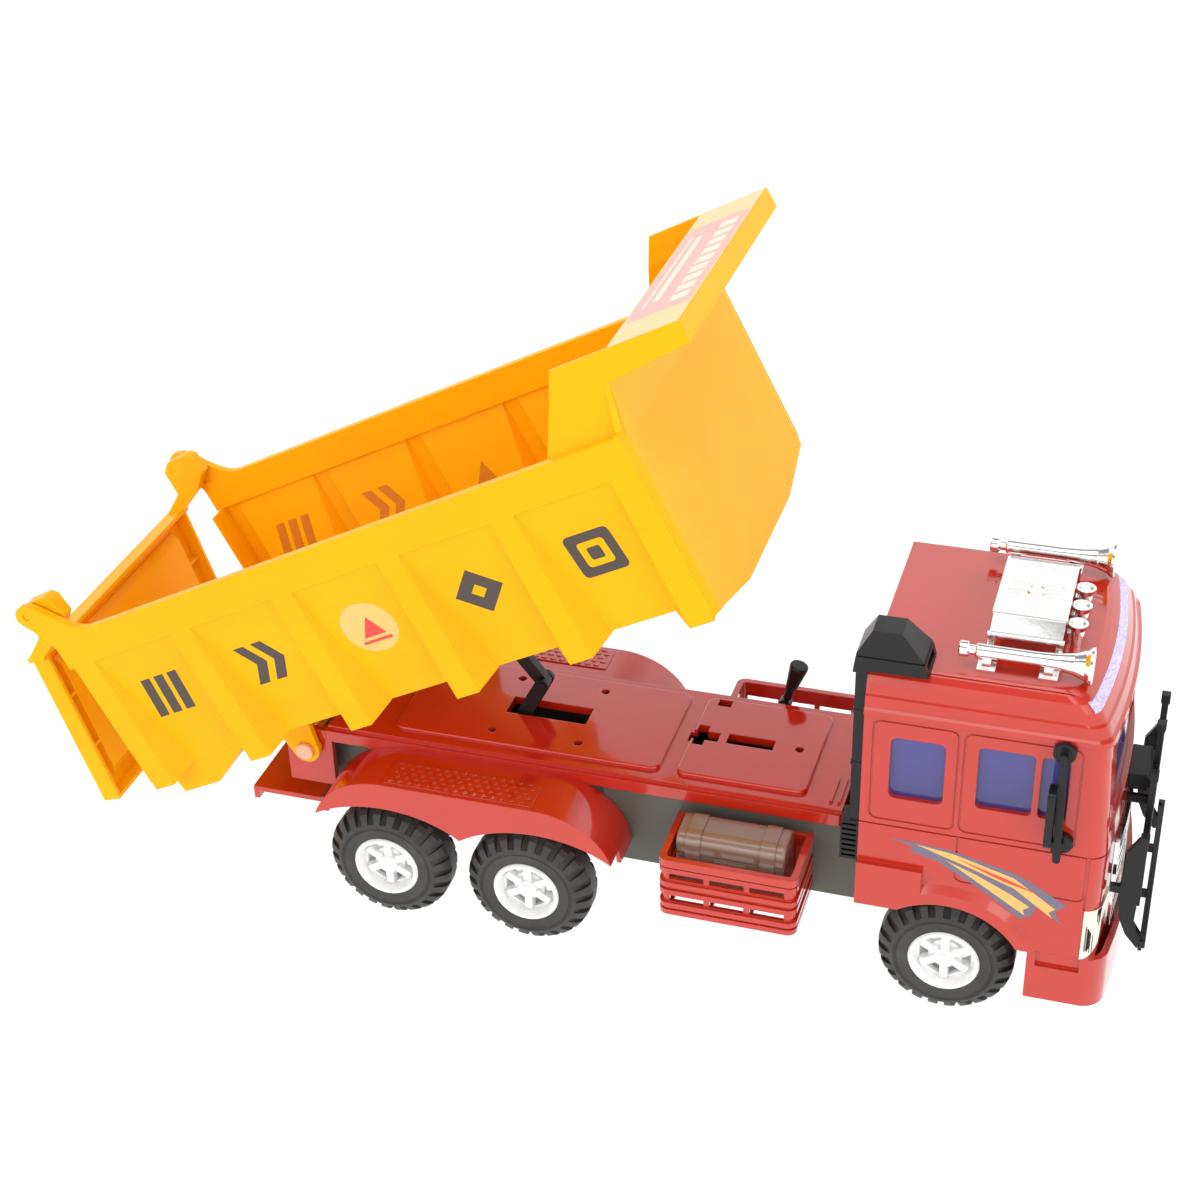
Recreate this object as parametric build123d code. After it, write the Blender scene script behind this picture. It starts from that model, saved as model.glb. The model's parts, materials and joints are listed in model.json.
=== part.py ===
from build123d import *
import math
import os

# Toy dump truck, millimetres. +X runs towards the cab, +Y to the truck's left, +Z up.
# The origin is on the ground under the middle of the truck's length.
# Bed and tailgate are drawn in the bed's own frame and placed at the raised angle.

# ---- driving dimensions -------------------------------------------------
ORIGIN_X = -13.8          # middle of the overall length, in the drawing's x

WHEEL_R = 35.0
AXLE_R = 1.8
BEARING_R = 1.85
AXLE_X = {"rear": -118.7, "middle": -38.2, "front": 185.2}
TYRE_OUTER_Y = {"rear": 69.5, "middle": 69.5, "front": 64.0}
TYRE_W = 25.0
RIM_R = 18.4
LUGS = 24
LUG_DEPTH = 3.4

DECK_TOP = 103.7
DECK_HALF_W = 44.5
DECK_REAR = -160.0
DECK_FRONT = 126.0
DECK_SIDE_Z = 94.6
PAD_H = 2.2
PAD_HALF_W = 36.0
SLOT = (-67.5, -22.0)
SLOT_HALF_W = 7.7
SCREWS = [(-20.7, -25.0), (-20.7, 25.0), (-69.2, -25.4), (-69.2, 25.4), (94.2, 0.0)]
SCREW_R = 1.3
SCREW_HEAD_R = 2.2
SCREW_SINK = 3.3

CHASSIS_FLOOR = 49.6
CHASSIS_MID = (-1.0, 138.0)
RAIL_HALF_W = 29.0

GUARD_OUT = 79.0          # outer face, top and foot of the rear wheel guards
GUARD_TOP = 98.3
GUARD_FOOT = 63.0
GUARD_ENDS = ((-113.0, 41.5), (-28.0, 42.5))
GUARD_BEND = 36.3

CAB_REAR = 139.0
CAB_FRONT = 264.0         # middle of the bowed front, at and below the belt
CAB_BOW = 6.0
CAB_CORNER_R = 9.0
CAB_HALF_W = 67.9
CAB_TOP = 207.0
BELT_Z = 118.7
ARCH_R = 42.0
# Height, half width and middle of the bowed front, from the belt up to the roof.
CROWN = [
    (BELT_Z, CAB_HALF_W, CAB_FRONT), (183.0, CAB_HALF_W, 260.2), (183.6, 69.4, 261.4),
    (186.4, 69.4, 261.0), (187.4, 68.0, 259.4), (193.0, 67.2, 257.4), (194.0, 66.2, 256.0),
    (199.6, 65.4, 253.0), (203.0, 63.8, 249.6), (205.6, 61.2, 245.4), (CAB_TOP, 58.6, 242.4),
]
BUMPER_FRONT = 270.0
BUMPER_TOP = 56.0
BUMPER_BOTTOM = 26.0
LAMP_TOP = 86.5
GUARD_X = 275.6

BED_PIVOT = (-171.85, 86.5)
BED_TILT = 27.17
PIN_R = 4.0
BED_HALF_W = 90.8
RECESS = 13.0             # depth of the side panels at their foot
RECESS_TOP = 1.0          # and just under the rim band
RIM_W = 5.0
WALL = 2.2
RIM_TOP = 124.5
BAND_BOTTOM = 106.2
PANEL_BOTTOM = 29.0
RIB_BOTTOM = 24.0
FLOOR_Z = 19.8
RIB_PITCH = 67.3
RIB_FIRST = -58.0
RIB_HALF = 6.6
RIB_RUN = 9.2
BED_REAR = -65.0
BED_FRONT = 286.6
FRONT_WALL = 288.0        # outer plane of the bed's front wall
CREASE_Z = 126.0
CANOPY_HALF_W = 82.0

GATE_HINGE = (-73.6, 141.4)
GATE_TOP = (-95.0, 117.5)
GATE_BOTTOM = (-109.8, 23.0)
GATE_HALF_W = 82.0
GATE_TAB_Y = (77.0, 85.2)
EAR_Y = (86.4, 90.8)
GATE_DEPTH = 10.5

ARM_BASE = (-66.0, 90.0)
ELBOW = (-47.2, 124.6)
STRUT_TOP_BED = (122.0, 9.0)
LEVER_PIVOT = (74.7, 98.0)
LEVER_Y = 51.6
LEVER_LEAN = 15.8

os.makedirs("parts", exist_ok=True)


# ---- helpers ------------------------------------------------------------
def block(x0, x1, y0, y1, z0, z1):
    centre = Pos((x0 + x1) / 2, (y0 + y1) / 2, (z0 + z1) / 2)
    return centre * Box(x1 - x0, y1 - y0, z1 - z0)


def side_prism(points, y0, y1):
    """Closed outline in x and z, extruded from y0 to y1."""
    outline = Plane((0, y0, 0), x_dir=(1, 0, 0), z_dir=(0, -1, 0)) * Polygon(*points, align=None)
    return extrude(outline, amount=y1 - y0, dir=(0, 1, 0))


def plan_prism(points, z0, z1):
    """Closed outline in x and y, extruded from z0 to z1."""
    return extrude(Pos(0, 0, z0) * Polygon(*points, align=None), amount=z1 - z0, dir=(0, 0, 1))


def front_prism(points, x0, x1):
    """Closed outline in y and z, extruded from x0 to x1."""
    outline = Plane((x0, 0, 0), x_dir=(0, 1, 0), z_dir=(1, 0, 0)) * Polygon(*points, align=None)
    return extrude(outline, amount=x1 - x0, dir=(1, 0, 0))


def rod_y(x, z, r, y0, y1):
    return Pos(x, (y0 + y1) / 2, z) * Rot(90, 0, 0) * Cylinder(r, y1 - y0)


def rod_z(x, y, r, z0, z1):
    return Pos(x, y, (z0 + z1) / 2) * Cylinder(r, z1 - z0)


def rod_x(x0, x1, y, z, r):
    return Pos((x0 + x1) / 2, y, z) * Rot(0, 90, 0) * Cylinder(r, x1 - x0)


def bar_between(a, b, half_w, y0, y1):
    """Flat bar with round ends between two points in x and z."""
    length = math.dist(a, b)
    angle = math.degrees(math.atan2(b[1] - a[1], b[0] - a[0]))
    middle = Pos((a[0] + b[0]) / 2, (y0 + y1) / 2, (a[1] + b[1]) / 2)
    bar = middle * Rot(0, -angle, 0) * Box(length, y1 - y0, 2 * half_w)
    return bar + rod_y(*a, half_w, y0, y1) + rod_y(*b, half_w, y0, y1)


def mirrored(shape):
    return mirror(shape, Plane.XZ)


def in_bed(shape):
    """Place a shape drawn in the bed's frame at the raised pose."""
    return Pos(BED_PIVOT[0], 0, BED_PIVOT[1]) * Rot(0, -BED_TILT, 0) * shape


def bed_point(x, z):
    tilt = math.radians(BED_TILT)
    return (
        BED_PIVOT[0] + x * math.cos(tilt) - z * math.sin(tilt),
        BED_PIVOT[1] + x * math.sin(tilt) + z * math.cos(tilt),
    )


def save(name, *shapes):
    solids = [solid for shape in shapes for solid in shape.solids()]
    part = solids[0] if len(solids) == 1 else Compound(solids)
    export_step(Pos(-ORIGIN_X, 0, 0) * part, f"parts/{name}.step")


def rounded_rect(x0, x1, y0, y1, r):
    return Pos((x0 + x1) / 2, (y0 + y1) / 2) * RectangleRounded(x1 - x0, y1 - y0, r)


# ---- wheels -------------------------------------------------------------
def tyre():
    """One tyre about the y axis, its outer side at y = 0 and the tread towards +y."""
    shoulder = [(0.6, RIM_R), (0.0, 26.5), (1.2, 29.2), (3.6, 32.6), (6.2, 34.5), (8.4, WHEEL_R)]
    profile = Polygon(*shoulder, *[(TYRE_W - y, r) for y, r in shoulder[::-1]], align=None)
    body = revolve(Plane.YZ * profile, Axis.Y)
    body -= revolve(Plane.YZ * Pos(0.0, 25.0) * Circle(0.8), Axis.Y)
    cuts = []
    for i in range(LUGS):
        turn = 360.0 / LUGS * i
        for y, lean, shift in ((3.0, 38.0, 0.0), (TYRE_W - 3.0, -38.0, 180.0 / LUGS)):
            notch = Pos(0, y, WHEEL_R - 1.2) * Rot(lean, 0, 0) * Box(3.8, 11.0, 2 * LUG_DEPTH)
            cuts.append(Rot(0, turn + shift, 0) * notch)
    return body - cuts


def rim():
    """Dished wheel centre about the y axis, its outer side at y = 0."""
    barrel = revolve(
        Plane.YZ * Polygon(
            (-0.6, RIM_R - 2.4), (-0.6, RIM_R - 0.8), (0.6, RIM_R), (TYRE_W - 3.0, RIM_R),
            (TYRE_W - 3.0, RIM_R - 2.2), (9.0, RIM_R - 2.2), (6.4, RIM_R - 3.6),
            (2.2, RIM_R - 3.0), align=None,
        ),
        Axis.Y,
    )
    disc = rod_y(0, 0, RIM_R - 2.6, 6.4, 9.0)
    hub = rod_y(0, 0, 5.2, 2.2, 15.0)
    cap = rod_y(0, 0, 3.4, 1.2, 2.4)
    spokes = []
    windows = []
    for i in range(6):
        turn = 60.0 * i
        spokes.append(Rot(0, turn, 0) * Pos(0, 5.6, 9.0) * Box(4.2, 3.6, 9.6))
        ends = Polygon((-3.2, 8.6), (3.2, 8.6), (4.6, 13.2), (-4.6, 13.2), align=None)
        face = Plane((0, 5.0, 0), x_dir=(1, 0, 0), z_dir=(0, -1, 0)) * ends
        windows.append(Rot(0, turn + 30.0, 0) * extrude(face, amount=6.0, dir=(0, 1, 0)))
    wheel = barrel + disc + hub + cap + spokes
    return wheel - windows - rod_y(0, 0, AXLE_R, 4.0, 16.0)


def wheel_set():
    tyre_shape = tyre()
    rim_shape = rim()
    for name, x in AXLE_X.items():
        outer = TYRE_OUTER_Y[name]
        right = Pos(x, -outer, WHEEL_R)
        left = Pos(x, outer, WHEEL_R) * Rot(0, 0, 180)
        save(f"tyre_{name}_right", right * tyre_shape)
        save(f"tyre_{name}_left", left * tyre_shape)
        save(f"rim_{name}_right", right * rim_shape)
        save(f"rim_{name}_left", left * rim_shape)
        save(f"axle_{name}", rod_y(x, WHEEL_R, AXLE_R, 4.0 - outer, outer - 4.0))


# ---- chassis and deck ---------------------------------------------------
def chassis():
    """Black open-topped tray: narrow between the wheels, wide behind the cab."""
    rail_bottom = 42.0
    spine = block(-166.0, 226.0, -RAIL_HALF_W, RAIL_HALF_W, rail_bottom, DECK_SIDE_Z)
    spine -= block(-163.0, 223.0, 3 - RAIL_HALF_W, RAIL_HALF_W - 3, rail_bottom + 3, 100.0)
    middle = block(*CHASSIS_MID, -DECK_HALF_W + 0.4, DECK_HALF_W - 0.4, CHASSIS_FLOOR, DECK_SIDE_Z)
    middle -= block(
        CHASSIS_MID[0] + 3, CHASSIS_MID[1] - 3, 3.4 - DECK_HALF_W, DECK_HALF_W - 3.4,
        CHASSIS_FLOOR + 3, 100.0,
    )
    inside = block(-163.0, 223.0, 3 - RAIL_HALF_W, RAIL_HALF_W - 3, rail_bottom + 3, 100.0)
    tray = spine + middle - inside
    for x in AXLE_X.values():
        for side in (-1, 1):
            y = side * (RAIL_HALF_W - 3)
            hanger = side_prism(
                [(x - 10, 44), (x - 6, 29), (x + 6, 29), (x + 10, 44)], y - 3, y + 3
            )
            tray += hanger
        tray -= rod_y(x, WHEEL_R, BEARING_R, -40, 40)
    for side in (-1, 1):
        tray -= rod_y(*ARM_BASE, 2.05, side * RAIL_HALF_W - 5, side * RAIL_HALF_W + 5)
    return tray


def deck():
    """Red deck: skirted plate, two raised pads, lift slot and rear pivot cheeks."""
    outline = rounded_rect(DECK_REAR, DECK_FRONT, -DECK_HALF_W, DECK_HALF_W, 2.0)
    plate = extrude(Pos(0, 0, DECK_SIDE_Z) * outline, amount=DECK_TOP - DECK_SIDE_Z)
    hollow = block(
        DECK_REAR + 2.6, DECK_FRONT - 2.6, 2.6 - DECK_HALF_W, DECK_HALF_W - 2.6,
        DECK_SIDE_Z - 1, DECK_TOP - 2.6,
    )
    step = block(DECK_REAR - 1, DECK_FRONT + 1, -60, 60, DECK_TOP - 2.4, DECK_TOP + 1)
    inner = block(DECK_REAR + 2, DECK_FRONT + 1, 2.2 - DECK_HALF_W, DECK_HALF_W - 2.2, 90, 110)
    body = plate - hollow - (step - inner)
    for x0, x1 in ((-122.0, 26.6), (35.9, 105.5)):
        pad = extrude(
            Pos(0, 0, DECK_TOP - 1) * rounded_rect(x0, x1, -PAD_HALF_W, PAD_HALF_W, 5.0),
            amount=PAD_H + 1,
        )
        body += fillet(pad.edges().group_by(Axis.Z)[-1], 1.0)
    for x in (118.2, 122.4):
        body += block(x, x + 1.6, -38.0, -17.0, DECK_TOP - 1, DECK_TOP + 1.4)
    body -= block(*SLOT, -SLOT_HALF_W, SLOT_HALF_W, 90, 120)
    body -= block(42.0, 49.5, 28.4, 34.6, 90, 120)
    body -= block(55.0, 80.4, -4.4, 4.6, 90, 120)
    body -= block(34.0, 50.5, -4.6, 3.6, 90, 120)
    body -= block(37.5, 43.5, -9.5, 8.5, 90, 120)
    for x, y in SCREWS:
        body -= rod_z(x, y, SCREW_R, 90, 120)
        body -= rod_z(x, y, SCREW_HEAD_R + 0.15, DECK_TOP + PAD_H - SCREW_SINK, 120)
    x, z = BED_PIVOT
    for side in (-1, 1):
        y0, y1 = sorted((side * 36.6, side * 40.6))
        cheek = side_prism(
            [(x - 13, 62), (x + 14, 62), (x + 14, 98), (x + 3, 98), (x - 9, 92), (x - 13, 84)],
            y0, y1,
        )
        body += cheek
    body -= rod_y(x, z, PIN_R, -60, 60)
    lever_x, lever_z = LEVER_PIVOT
    return body - rod_y(lever_x, lever_z, 2.05, 36, 50)


def deck_screws():
    screws = []
    head_z = DECK_TOP + PAD_H - SCREW_SINK
    for x, y in SCREWS:
        screw = rod_z(x, y, SCREW_HEAD_R, head_z, head_z + 1.1)
        screw += rod_z(x, y, SCREW_R, DECK_SIDE_Z, head_z)
        screw -= block(x - 1.8, x + 1.8, y - 0.3, y + 0.3, head_z + 0.5, head_z + 2)
        screw -= block(x - 0.3, x + 0.3, y - 1.8, y + 1.8, head_z + 0.5, head_z + 2)
        screws.append(screw)
    return screws


def rear_step():
    """Red step plate under the bed pivots, closing the tail of the chassis."""
    plate = block(-207.0, -166.0, -45.0, 45.0, 52.0, 55.0)
    lip = block(-207.0, -204.0, -45.0, 45.0, 47.0, 55.0)
    web = block(-169.0, -166.0, -RAIL_HALF_W, RAIL_HALF_W, 52.0, 78.0)
    ribs = [block(-204.0, -166.0, y - 1.2, y + 1.2, 47.0, 53.0) for y in (-30, 0, 30)]
    return plate + lip + web + ribs


def guard_block(inset, y0, y1):
    """Long rounded block over the two rear wheels, shrunk by inset."""
    (rear, rear_run), (front, front_run) = GUARD_ENDS
    body = block(rear, front, y0, y1, GUARD_FOOT, GUARD_TOP - inset)
    for x, run in ((rear, rear_run), (front, front_run)):
        bend = Ellipse(run - inset, GUARD_BEND - inset)
        face = Plane((x, y0, GUARD_TOP - GUARD_BEND), x_dir=(1, 0, 0), z_dir=(0, -1, 0)) * bend
        body += extrude(face, amount=y1 - y0, dir=(0, 1, 0))
    return body & block(-200, 100, y0, y1, GUARD_FOOT, 120)


def fender():
    """Red guard over the two right rear wheels, with a raised tread pad on top."""
    thick = 2.4
    shell = guard_block(0, -GUARD_OUT, -DECK_HALF_W)
    shell -= guard_block(thick, thick - GUARD_OUT, 1 - DECK_HALF_W) + block(
        -115, -26, thick - GUARD_OUT, 1 - DECK_HALF_W, 50, GUARD_FOOT + 1)
    for x, run in GUARD_ENDS:
        opening = Plane((x, -90, 40.1), x_dir=(1, 0, 0), z_dir=(0, -1, 0)) * Ellipse(60.0, 42.5)
        keep = block(x - 43.6, x + 43.6, -90, -60, 0, 90)
        shell -= extrude(opening, amount=25, dir=(0, 1, 0)) & keep
    pad = extrude(Pos(0, 0, GUARD_TOP - 1) * rounded_rect(-112.5, -30.5, -76.2, -56.5, 1.0), amount=1.7)
    return shell + pad


def crate():
    """Right-hand side crate: open top, slotted walls, hooked on the chassis side."""
    x0, x1, y0, y1 = 41.5, 111.0, -84.0, 0.4 - DECK_HALF_W
    z0, z1 = 52.0, 87.0
    outer = plan_prism([(x0, y0), (x1, y0), (x1, y1), (x0, y1)], z0, z1)
    outer = fillet(outer.edges().filter_by(Axis.Z).sort_by(Axis.Y)[:2], 4.0)
    inner = plan_prism(
        [(x0 + 2.2, y0 + 2.2), (x1 - 2.2, y0 + 2.2), (x1 - 2.2, y1 - 2.2), (x0 + 2.2, y1 - 2.2)],
        z0 + 2.2, z1 + 5,
    )
    inner = fillet(inner.edges().filter_by(Axis.Z).sort_by(Axis.Y)[:2], 2.0)
    body = outer - inner
    rim_outer = block(x0 - 1.4, x1 + 1.4, y0 - 1.4, y1, z1 - 4.5, z1)
    rim_outer = fillet(rim_outer.edges().filter_by(Axis.Z).sort_by(Axis.Y)[:2], 5.0)
    body += rim_outer - inner
    for z, height in ((59.8, 4.2), (74.2, 4.0)):
        for i in range(3):
            xa = x0 + 4.5 + i * 21.0
            body -= block(xa, xa + 18.0, y0 - 3, y0 + 4, z, z + height)
        for wall_x in (x0, x1):
            body -= block(wall_x - 4, wall_x + 4, y0 + 7, y1 - 6, z, z + height)
    for i in range(3):
        xa = x0 + 4.5 + i * 21.0
        body -= block(xa, xa + 18.0, y0 + 4, y1 - 4, z0 - 1, z0 + 4)
    ridges = []
    for z in (52.0, 56.4, 64.8, 69.8, 78.8):
        band = block(x0 - 1.4, x1 + 1.4, y0 - 1.4, y1, z, z + 3.0)
        band = fillet(band.edges().filter_by(Axis.Z).sort_by(Axis.Y)[:2], 5.0)
        ridges.append(band - inner - block(x0, x1, y0 + 4, y1 - 4, z0 - 1, z0 + 4))
    return body + ridges


def toolbox():
    """Brown case with a domed lid and two straps, standing in the right crate."""
    x0, x1, y0, y1 = 46.0, 103.0, -72.0, -48.0
    z0, z1 = 54.2, 93.6
    body = block(x0, x1, y0, y1, z0, z1)
    body = fillet(body.edges().filter_by(Axis.X).sort_by(Axis.Z)[-2:], 6.5)
    body = fillet(body.edges().group_by(Axis.X)[0] + body.edges().group_by(Axis.X)[-1], 1.2)
    seam = block(x0 - 1, x1 + 1, y0 - 1, y1 + 1, 82.2, 83.0)
    core = block(x0 + 0.7, x1 - 0.7, y0 + 0.7, y1 - 0.7, 70.0, 88.0)
    body -= seam - core
    for x in (x0 + 5.0, x1 - 5.0 - 8.0):
        strap = block(x, x + 8.0, y0 - 0.8, y1 + 0.4, z0, z1 + 0.8)
        body += fillet(strap.edges().filter_by(Axis.X).sort_by(Axis.Z)[-2:], 7.0)
    return body + block(x0 + 20, x1 - 20, y0 - 1.0, y0 + 1, 76.0, 81.0)


# ---- cab ----------------------------------------------------------------
def bowed_plan(z, half, front, r):
    """Plan of the cab at one height: flat back, bowed front, rounded front corners."""
    shoulder = front - CAB_BOW
    sides = Polyline((shoulder, half), (CAB_REAR, half), (CAB_REAR, -half), (shoulder, -half))
    bow = ThreePointArc((shoulder, -half), (front, 0), (shoulder, half))
    face = make_face(sides.edges() + bow.edges())
    return Pos(0, 0, z) * fillet(face.vertices().group_by(Axis.X)[-1], r)


def cab_block(inset):
    """Solid cab outline shrunk by inset on every side."""
    r = CAB_CORNER_R - inset
    lower = bowed_plan(0, CAB_HALF_W - inset, CAB_FRONT - inset, r)
    body = extrude(lower, amount=BELT_Z)
    crown = [bowed_plan(z, half - inset, front - inset, r) for z, half, front in CROWN]
    body += loft(crown, ruled=True)
    keep = block(CAB_REAR + inset, 300, -100, 100, 20, CAB_TOP - max(inset, 0))
    return body & keep


def window_cut(x0, x1, z0, z1, r=3.5):
    """Rounded window through both cab sides."""
    outline = Plane((0, -90, 0), x_dir=(1, 0, 0), z_dir=(0, -1, 0)) * rounded_rect(x0, x1, z0, z1, r)
    return extrude(outline, amount=180, dir=(0, 1, 0))


def frame_groove(x0, x1, z0, z1, depth=0.7, width=0.9):
    """Shallow seam round a panel on both cab sides."""
    ring = window_cut(x0, x1, z0, z1, 4.0)
    ring -= window_cut(x0 + width, x1 - width, z0 + width, z1 - width, 3.4)
    return ring - block(x0 - 5, x1 + 5, depth - CAB_HALF_W, CAB_HALF_W - depth, z0 - 5, z1 + 5)


def cab_shell():
    shell = cab_block(0) - cab_block(3.0)
    arch_x = AXLE_X["front"]
    flare = Pos(arch_x, -CAB_HALF_W, WHEEL_R) * Rot(90, 0, 0) * Cone(ARCH_R + 14.5, ARCH_R + 6.5, 6.4)
    flare += block(CAB_REAR, 172.0, -CAB_HALF_W - 3.2, 2.6 - CAB_HALF_W, 69.2, 95.0)
    flare -= block(100, 300, -100, 100, -50, BUMPER_TOP + 1.0)
    shell += flare
    shell += mirrored(flare)
    shell -= rod_y(arch_x, WHEEL_R, ARCH_R, -100, 100)
    shell -= block(100, 300, -100, 100, 0, BUMPER_TOP)
    shell -= block(100, 165, -100, 100, 0, 69.2)
    shell -= block(165, arch_x + 30, -100, 100, 0, 60)
    shell -= window_cut(152.6, 179.2, 136.0, 171.8)
    shell -= window_cut(194.8, 221.6, 138.0, 173.6, 2.5)
    shell -= window_cut(224.6, 238.0, 138.0, 173.6, 2.5)
    windscreen = Plane.YZ * Pos(0, 155.5) * RectangleRounded(104, 43, 5)
    shell -= extrude(Pos(240, 0, 0) * windscreen, amount=40)
    shell -= frame_groove(143.5, 185.5, 122.0, 181.0)
    shell -= frame_groove(187.5, 243.5, 122.0, 181.0)
    shell -= frame_groove(187.5, 251.0, 91.0, 180.0) & block(100, 300, -100, 100, 0, BELT_Z)
    for side in (-1, 1):
        y0, y1 = sorted((side * (CAB_HALF_W - 0.7), side * 80))
        shell -= block(251.0, 251.9, y0, y1, LAMP_TOP, BELT_Z)
    return shell


def belt_groove():
    return block(100, 300, -100, 100, BELT_Z - 0.45, BELT_Z + 0.45) - cab_block(0.9)


def cab_upper(shell):
    """Upper cab with a roof crown and a groove for the marker strip over the windscreen."""
    upper = shell & block(100, 300, -100, 100, BELT_Z, 300)
    return upper - belt_groove() - strip_band(0.8) - roof_seam()


def strip_band(depth):
    """Band round the front of the crown, depth millimetres thick."""
    skin = cab_block(0) - cab_block(depth)
    reach = front_prism([(-63, 199.2), (63, 199.2), (61, 203.4), (-61, 203.4)], 242.0, 300.0)
    return skin & reach


def roof_seam():
    """Fine line where the roof panel meets the crown on both sides."""
    seams = [block(CAB_REAR + 6, 236, side * 60.2 - 0.3, side * 60.2 + 0.3, 205.2, 210) for side in (-1, 1)]
    return seams[0] + seams[1]


def cab_lower(shell):
    lower = shell & block(100, 300, -100, 100, 0, BELT_Z)
    lower -= block(130, 150, -RAIL_HALF_W, RAIL_HALF_W, 0, DECK_SIDE_Z)
    return lower - belt_groove() - headlight_block(0) - mirrored(headlight_block(0))


def glazing():
    """Tinted clear moulding behind the cab windows."""
    band = cab_block(3.0) - cab_block(4.4)
    return band & block(145, 300, -100, 100, 127.0, 183.0)


def bumper():
    """Deep bowed front bumper, open at the back, with a step in each side."""
    rear = 226.7
    half = CAB_HALF_W + 0.6
    outline = bowed_plan(BUMPER_BOTTOM, half, BUMPER_FRONT, 12.0)
    inner = bowed_plan(BUMPER_BOTTOM + 3.0, half - 3.0, BUMPER_FRONT - 3.0, 9.0)
    body = extrude(outline, amount=BUMPER_TOP - BUMPER_BOTTOM) - extrude(inner, amount=40)
    body = body & block(rear, 300, -100, 100, 0, 100)
    for side in (-1, 1):
        y0, y1 = sorted((side * (half - 2.0), side * (half + 1.0)))
        body -= block(231.0, 252.6, y0, y1, 47.0, BUMPER_TOP + 1)
    return body


def headlight_block(grow):
    """Outline of the right headlight, wrapped round the cab corner."""
    ring = cab_block(-0.8 - grow) - cab_block(2.0)
    return ring & block(252.0 - grow, 300, -100, -46.0, BUMPER_TOP, LAMP_TOP)


def headlight():
    lamp = headlight_block(0)
    for i in range(4):
        x = 253.6 + i * 1.1
        lamp -= block(x, x + 0.5, -80, -CAB_HALF_W, 61.0, 77.0)
    return lamp


def grille():
    """Bright front grille between the headlights."""
    skin = cab_block(-2.2) - cab_block(0)
    half, z0, z1 = 43.0, 60.0, 112.0
    frame = skin & block(240, 300, -half, half, z0, z1)
    frame -= block(240, 300, 2.6 - half, half - 2.6, z0 + 2.6, z1 - 2.6)
    back = (cab_block(-0.8) - cab_block(0)) & block(240, 300, 1 - half, half - 1, z0 + 1, z1 - 1)
    slats = cab_block(-1.8) - cab_block(0)
    bars = [slats & block(240, 300, 1 - half, half - 1, z, z + 2.6) for z in (69.0, 76.5, 84.0, 91.5, 99.0)]
    posts = [skin & block(240, 300, y - 1.2, y + 1.2, z0 + 1, z1 - 1) for y in (-14.0, 14.0)]
    return frame + back + bars + posts


def bull_bar():
    """Black guard: six posts stepping down from the middle, held on brackets and two cheeks."""
    x = GUARD_X
    half = 1.6
    posts = ((13.0, 166.0), (34.0, 151.0), (50.0, 124.0))
    rails = ((84.0, 50.0), (104.0, 50.0), (120.0, 50.0), (140.0, 34.0))
    z, reach = rails[0]
    guard = block(x - half, x + half, -reach, reach, z - half, z + half)
    for z, reach in rails[1:]:
        guard += block(x - half, x + half, -reach, reach, z - half, z + half)
    cheek = [(273.0, 122.0), (267.6, 112.6), (267.0, 84.5), (268.0, 73.0), (272.0, 63.0),
             (278.2, 55.5), (281.0, 57.0), (281.0, 61.0), (275.4, 70.0), (x + half, 115.0),
             (x + half, 122.0)]
    for side in (-1, 1):
        for y, height in posts:
            y0, y1 = sorted((side * y - half, side * y + half))
            guard += block(x - half, x + half, y0, y1, 82.0, height)
            guard += block(x - half - 0.6, x + half + 0.6, y0 - 0.6, y1 + 0.6, height - 4.0, height)
        guard += side_prism(cheek, side * 50.0 - half, side * 50.0 + half)
        guard += block(262.0, 273.0, side * 50.0 - half, side * 50.0 + half, 88.0, 92.0)
        for y in (19.0, 57.0):
            y0, y1 = sorted((side * y - 1.6, side * y + 1.6))
            guard += block(x - half, 281.0, y0, y1, 63.0, 66.6) if y < 50 else block(279.0, 281.0, y0, y1, 60, 68)
        guard += block(x - half, x + half, side * 19.0 - 1.6, side * 19.0 + 1.6, 63.0, 84.0)
        guard += block(261.0, x - 1, side * 13.0 - half, side * 13.0 + half, 117.0, 121.0)
    guard += block(261.0, 272.5, -13.0, 13.0, 124.0, 133.0)
    guard += block(270.0, x, -13.0, 13.0, 126.0, 131.0)
    guard += block(279.4, 282.4, -60.0, 60.0, 63.0, 67.0)
    return guard - cab_block(-0.05)


def mirror_unit():
    """Right-hand mirror behind its arm, with a round boss at each end."""
    face = -CAB_HALF_W
    x = 234.6
    unit = rod_y(x, 180.4, 5.4, face - 4.6, face)
    unit += rod_y(x + 3.2, 127.6, 5.0, face - 4.2, face)
    arm = bar_between((x, 180.4), (x + 1.6, 121.0), 1.9, face - 8.6, face - 4.4)
    unit += arm
    unit += block(x - 1.6, x + 4.0, face - 7.5, face - 3.0, 124.6, 130.6)
    plate = block(x - 5.0, x - 1.4, face - 15.0, face - 2.8, 131.0, 163.0)
    unit += fillet(plate.edges().filter_by(Axis.X), 3.0)
    unit += block(x - 2.5, x + 1.0, face - 8.4, face - 5.0, 142.0, 150.0)
    return unit - block(x - 9, x + 9, face - 1.6, face + 1, 182.9, 190.0)


def snorkel_pipe():
    """Black square intake pipe up the cab's right rear edge, with a ribbed foot."""
    x0, y0, y1 = 133.4, -64.6, -54.0
    foot_x, foot_top = 129.6, 116.0
    pipe = block(x0, CAB_REAR, y0, y1, 92.0, 206.0)
    pipe += block(foot_x, CAB_REAR, y0 - 0.8, y1 + 0.6, 92.0, foot_top)
    for z in (150.0, 181.0):
        pipe += block(x0 - 0.5, CAB_REAR, y0 - 0.5, y1 + 0.5, z, z + 1.6)
    for i in range(7):
        z = 93.5 + i * 3.2
        pipe -= block(foot_x + 0.8, CAB_REAR - 1.5, y0 - 3, y0 + 1.2, z, z + 1.5)
    return pipe


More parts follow.
